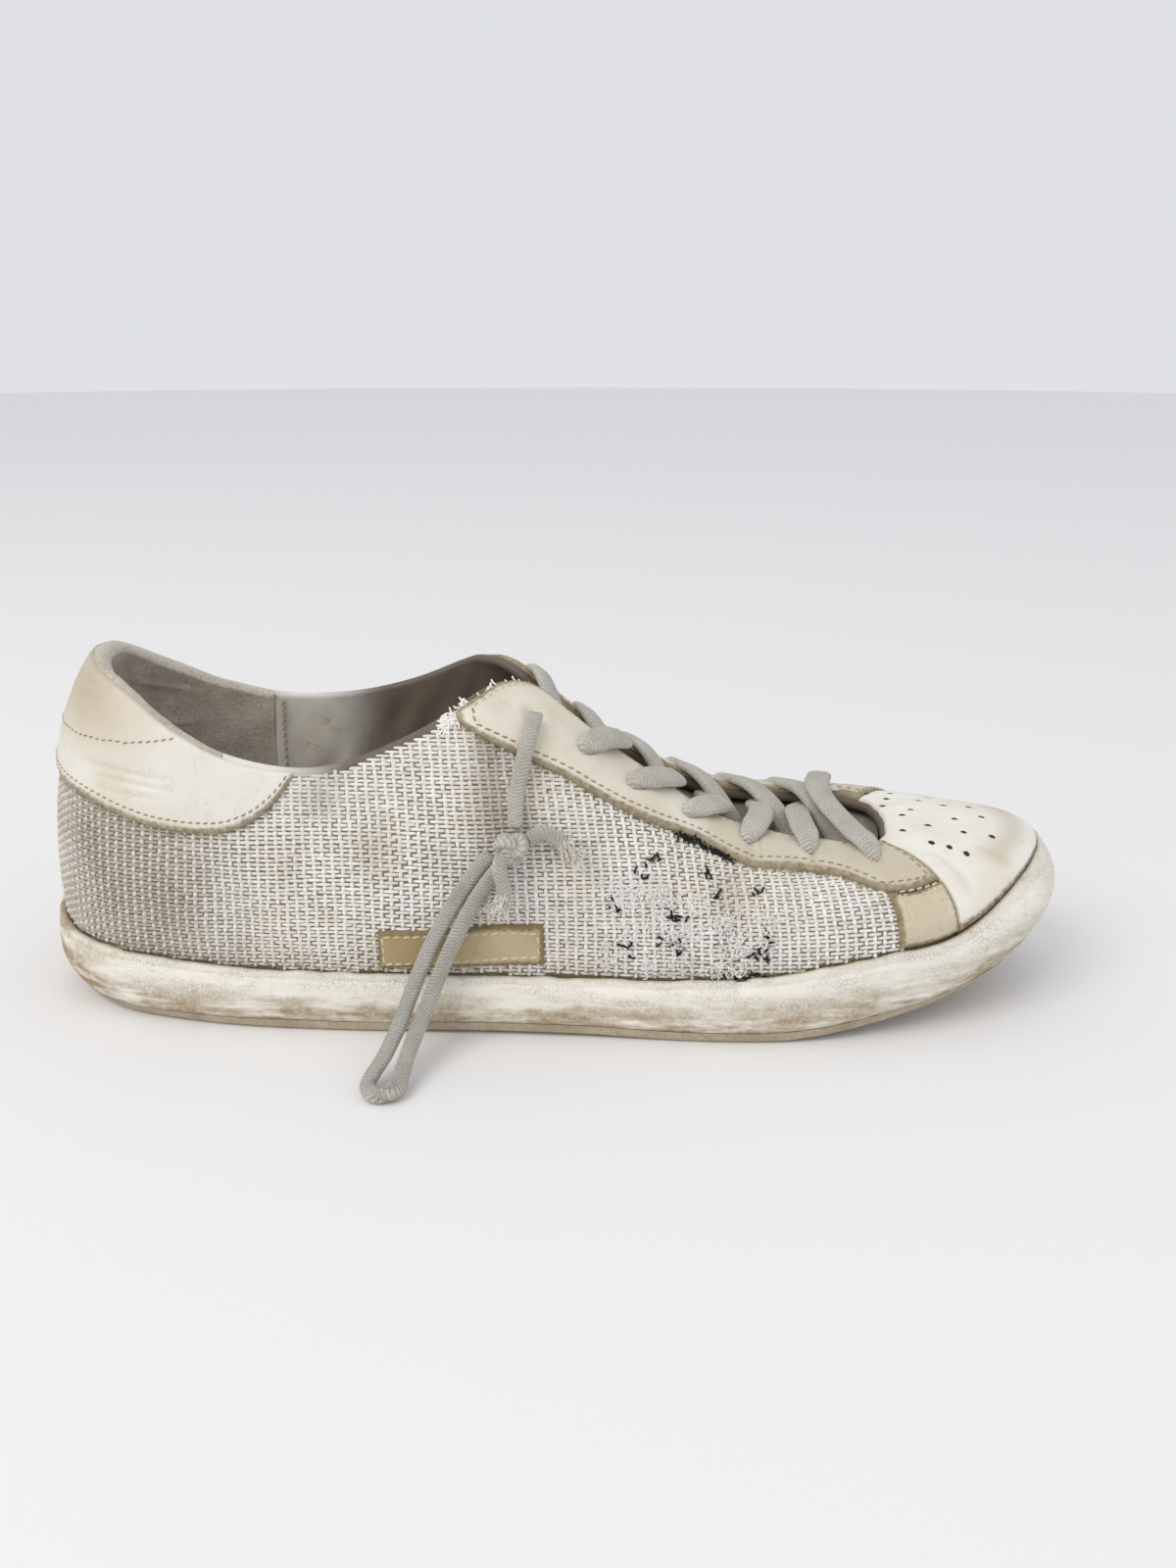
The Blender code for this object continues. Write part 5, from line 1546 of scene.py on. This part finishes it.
def curly(start, way, up, length, curl, draw, steps):
    """Loose fibres: from each start they run the given way and wander sideways and up by a seeded
    random walk, `curl` radians a step."""
    turn, lift = (np.cumsum(draw.normal(0, spread, (len(start), steps)), 1)[..., None] for spread in (curl, curl * 0.5))
    side = np.cross(up, way)[:, None]
    step = unit(way[:, None] * np.cos(turn) + side * np.sin(turn) + up[:, None] * lift * 0.5)
    step *= np.asarray(length).reshape(-1, 1, 1) / steps
    return np.concatenate([start[:, None], start[:, None] + np.cumsum(step, 1)], 1)


def scatter(name, turn, climb, lift, length, radius, curl, finish, slot, seed, sides=4, steps=9):
    """Fibres lying on the upper round the given places, in seeded random directions. The lift, the
    length and the radius are in mm."""
    draw = np.random.default_rng(seed)
    start = worn(turn, climb, lift * MM)
    up = skin_normal(turn, climb)
    angle = draw.uniform(0, 2 * math.pi, len(turn))[:, None]
    first = unit(np.cross(up, [0, 0, 1.0]))
    way = first * np.cos(angle) + np.cross(up, first) * np.sin(angle)
    paths = curly(start, way, up, length * MM, curl, draw, steps)
    # a fibre is held between the cloth and a little above it
    away = np.sum((paths - start[:, None]) * up[:, None], -1, keepdims=True)
    paths = paths + up[:, None] * (np.clip(away, -0.2 * MM, 1.6 * MM) - away)
    piece(name, *tubes(paths, radius * MM, sides), finish, slot, smooth=False, trough=0.0)


def add_wear():
    """Wear of the quarter: black thread ends and white lint scattered where a badge was once sewn on, an opened black
    seam under the facing with painted shade in its gap, and yarns frayed out of the collar's edge."""
    draw = np.random.default_rng(77)
    at, up = draw.uniform(0.54, 0.73, 14), draw.uniform(0.07, 0.52, 14)
    at, up = np.repeat(at, 4) + draw.normal(0, 0.003, 56), np.repeat(up, 4) + draw.normal(0, 0.014, 56)
    scatter("black_thread_ends", turn_of(at), np.clip(up, 0.03, 0.56), 0.8, draw.uniform(1.0, 3.0, 56), 0.32, 0.35,
            BLACK_THREAD, "quarter_mesh", 78)
    count, tufts = 900, 60
    tuft = draw.integers(0, tufts, count)
    spots = np.stack([draw.uniform(0.545, 0.70, tufts), draw.uniform(0.03, 0.36, tufts)])
    at, up = spots[:, tuft] + draw.normal(0, 1, (2, count)) * [[0.0045], [0.022]]
    keep = up > 0.01
    scatter("white_lint", turn_of(at[keep]), np.clip(up[keep], 0.02, 1), 0.8, draw.uniform(1.2, 3.6, count)[keep],
            0.14, 0.9, LINT, "quarter_mesh", 79, sides=3, steps=7)
    # the opened seam's gap: a near-black strip of painted shade, made in the black thread's finish
    turns = turn_of(np.linspace(0.626, 0.670, 30))
    stitches("opened_seam_gap_shade", [(turns, panel_low(EYESTAY, turns, 1) - 0.004)], 0.75 * MM, BLACK_THREAD,
             "eyestay_leather", pitch=1.4, length=2.6, thick=1.7, slant=0.0)
    turns = turn_of(np.linspace(0.622, 0.672, 130) + draw.normal(0, 0.0012, 130))
    low = panel_low(EYESTAY, turns, 1) - draw.uniform(-0.012, 0.022, 130)
    scatter("opened_seam", turns, low, 0.85, draw.uniform(1.2, 3.2, 130), 0.26, 0.5, BLACK_THREAD,
            "eyestay_leather", 80)
    turns = turn_of(np.concatenate([draw.uniform(0.415, 0.452, 90), draw.uniform(0.45, 0.515, 50)]))
    scatter("frayed_collar_yarns", turns, 1 - draw.uniform(0.002, 0.05, 140), 0.6, draw.uniform(1.2, 3.6, 140), 0.26,
            0.4, LINT, "quarter_mesh", 81)
    turns = turn_of(draw.uniform(0.655, 0.69, 24))
    scatter("foxing_seam_threads", turns, draw.uniform(0.0, 0.03, 24), 0.6, draw.uniform(1.2, 2.6, 24), 0.25, 0.3,
            BLACK_THREAD, "quarter_mesh", 82)
    turns = turn_of(draw.uniform(0.775, 0.825, 90), -1)
    scatter("frayed_throat_strand", turns, 1 - draw.uniform(0.0, 0.05, 90), 2.2, draw.uniform(2, 5, 90), 0.2, 0.4,
            LINT, "tongue_felt", 84)
    turns = turn_of(draw.uniform(0.02, 0.80, 260))
    scatter("foxing_line_fluff", turns, draw.uniform(0.0, 0.03, 260), 0.5, draw.uniform(1, 3, 260), 0.12, 0.6,
            KHAKI_THREAD, "quarter_mesh", 83, sides=3, steps=6)


def add_raw_fluff():
    """Fibres that stand out of the panels' cut edges."""
    draw = np.random.default_rng(90)
    count = 420
    fluff = {"sides": 3, "steps": 5}
    for side in (1, -1):
        turns = turn_of(draw.uniform(0.434, 0.81, count), side)
        low = panel_low(EYESTAY, turns, side) + draw.normal(0.002, 0.008, count)
        scatter("facing_edge_fluff_" + side_name(side), turns, low, 1.0, draw.uniform(0.8, 2.2, count), 0.11, 0.6,
                KHAKI_THREAD, "eyestay_leather", 91 + side, **fluff)
    ats = draw.uniform(0.001, 0.265, count)
    turns = turn_of(ats) * np.where(draw.uniform(0, 1, count) > 0.5, 1, -1)
    low = sided(COLLAR_PANEL, turns) + draw.normal(0.0, 0.008, count)
    scatter("heel_edge_fluff", turns, low, 1.0, draw.uniform(0.8, 2.0, count), 0.11, 0.6, KHAKI_THREAD,
            "collar_leather", 95, **fluff)


def add_hole_shades():
    """Painted shade inside the eyelets and the toe's punched holes: small flat near-black cushions at their bottoms."""
    eyes = [eyelet(n, side) for side in (1, -1) for n in range(len(EYELETS["climb"]))]
    turn, climb = np.concatenate([eyes, TOE_HOLES]).T
    counts = len(eyes), len(TOE_HOLES)
    lift = np.repeat([OVERLAY_GAP + OVERLAY - 1.75 * MM, OVERLAY_GAP + TOE_LEATHER - 0.3 * MM], counts)
    size = np.repeat([3.4 * MM, 2.0 * MM], counts)
    up = skin_normal(turn, climb)
    along = unit(np.cross(up, [0, 0, 1.0]))
    points, faces = mounds(worn(turn, climb, lift), along, np.cross(up, along), up, size, size, 0.12 * MM,
                           shape=(7, 7), power=1.0)
    piece("hole_shade_discs", points, faces, HOLE_SHADE, "eyestay_leather", trough=0.0)


def add_frayed_tails():
    """The tails' frayed tips: cotton fibres that fan out from the last half of each tail."""
    draw = np.random.default_rng(99)
    count = 150
    for name, rows in (("lace_tail_front", TAIL_FRONT), ("lace_tail_low", TAIL_LOW)):
        path = smooth_path(points_of(rows), 40)
        pick = draw.integers(22, 39, count)
        way = unit(np.gradient(path, axis=0)[pick])
        round_it = unit(np.cross(way, draw.normal(0, 1, (count, 3))))
        start = path[pick] + round_it * 1.5 * MM
        paths = curly(start, way + 0.25 * round_it, round_it, draw.uniform(1.5, 4.5, count) * MM, 0.35, draw, 7)
        piece(name + "_fibres", *tubes(paths, 0.16 * MM, 3), FRAYED, "frayed_cotton", smooth=False, trough=0.0)


add_stitches()
add_seam_strips()
add_wear()
add_raw_fluff()
add_hole_shades()
add_frayed_tails()

# ---------------------------------------------------------------- floor and light

def add_floor():
    """A plain pale floor, as a finely divided disc: x = r cos a, y = r sin a."""
    rows, sides = 24, 96
    radius, angle = np.linspace(0.001, 4, rows)[:, None], np.linspace(0, 2 * math.pi, sides + 1)[:-1]
    points = np.stack([radius * np.cos(angle), radius * np.sin(angle), 0 * radius * angle], -1)
    made, _, shader = finish_of("matt_pale_floor", 0.75)
    shader.inputs["Base Color"].default_value = linear(0xF0EFEF)
    mesh = bpy.data.meshes.new("floor")
    faces = tube_faces(rows, sides)[:, ::-1].tolist() + [list(range(sides))]
    mesh.from_pydata(points.reshape(-1, 3).tolist(), [], faces)
    mesh.materials.append(made)
    floor = bpy.data.objects.new("floor", mesh)
    bpy.context.scene.collection.objects.link(floor)


def add_light(name, size, energy, spot, aim, colour):
    """A soft square light at the spot, turned towards its aim."""
    data = bpy.data.lights.new(name, "AREA")
    data.size = size
    data.energy = energy
    data.color = linear(colour)[:3]
    made = bpy.data.objects.new(name, data)
    made.location = spot
    x, y, z = np.array(aim) - np.array(spot)
    made.rotation_euler = (math.atan2(math.hypot(x, y), -z), 0, math.atan2(-x, y))
    bpy.context.scene.collection.objects.link(made)


def add_lights():
    """The window's light from the left and front, a faint fill, and a pale surround."""
    add_light("window", 1.1, 11.5, (-0.9, -0.9, 1.3), (0, 0, 0.03), 0xFFFAF2)
    add_light("fill", 1.4, 1.5, (1.2, -0.9, 0.9), (0, 0, 0.03), 0xF2F6FF)
    world = bpy.data.worlds.new("studio")
    world.use_nodes = True
    back = world.node_tree.nodes["Background"]
    back.inputs[0].default_value = linear(0xF1F3F7)
    back.inputs[1].default_value = 0.85
    bpy.context.scene.world = world


add_floor()
add_lights()
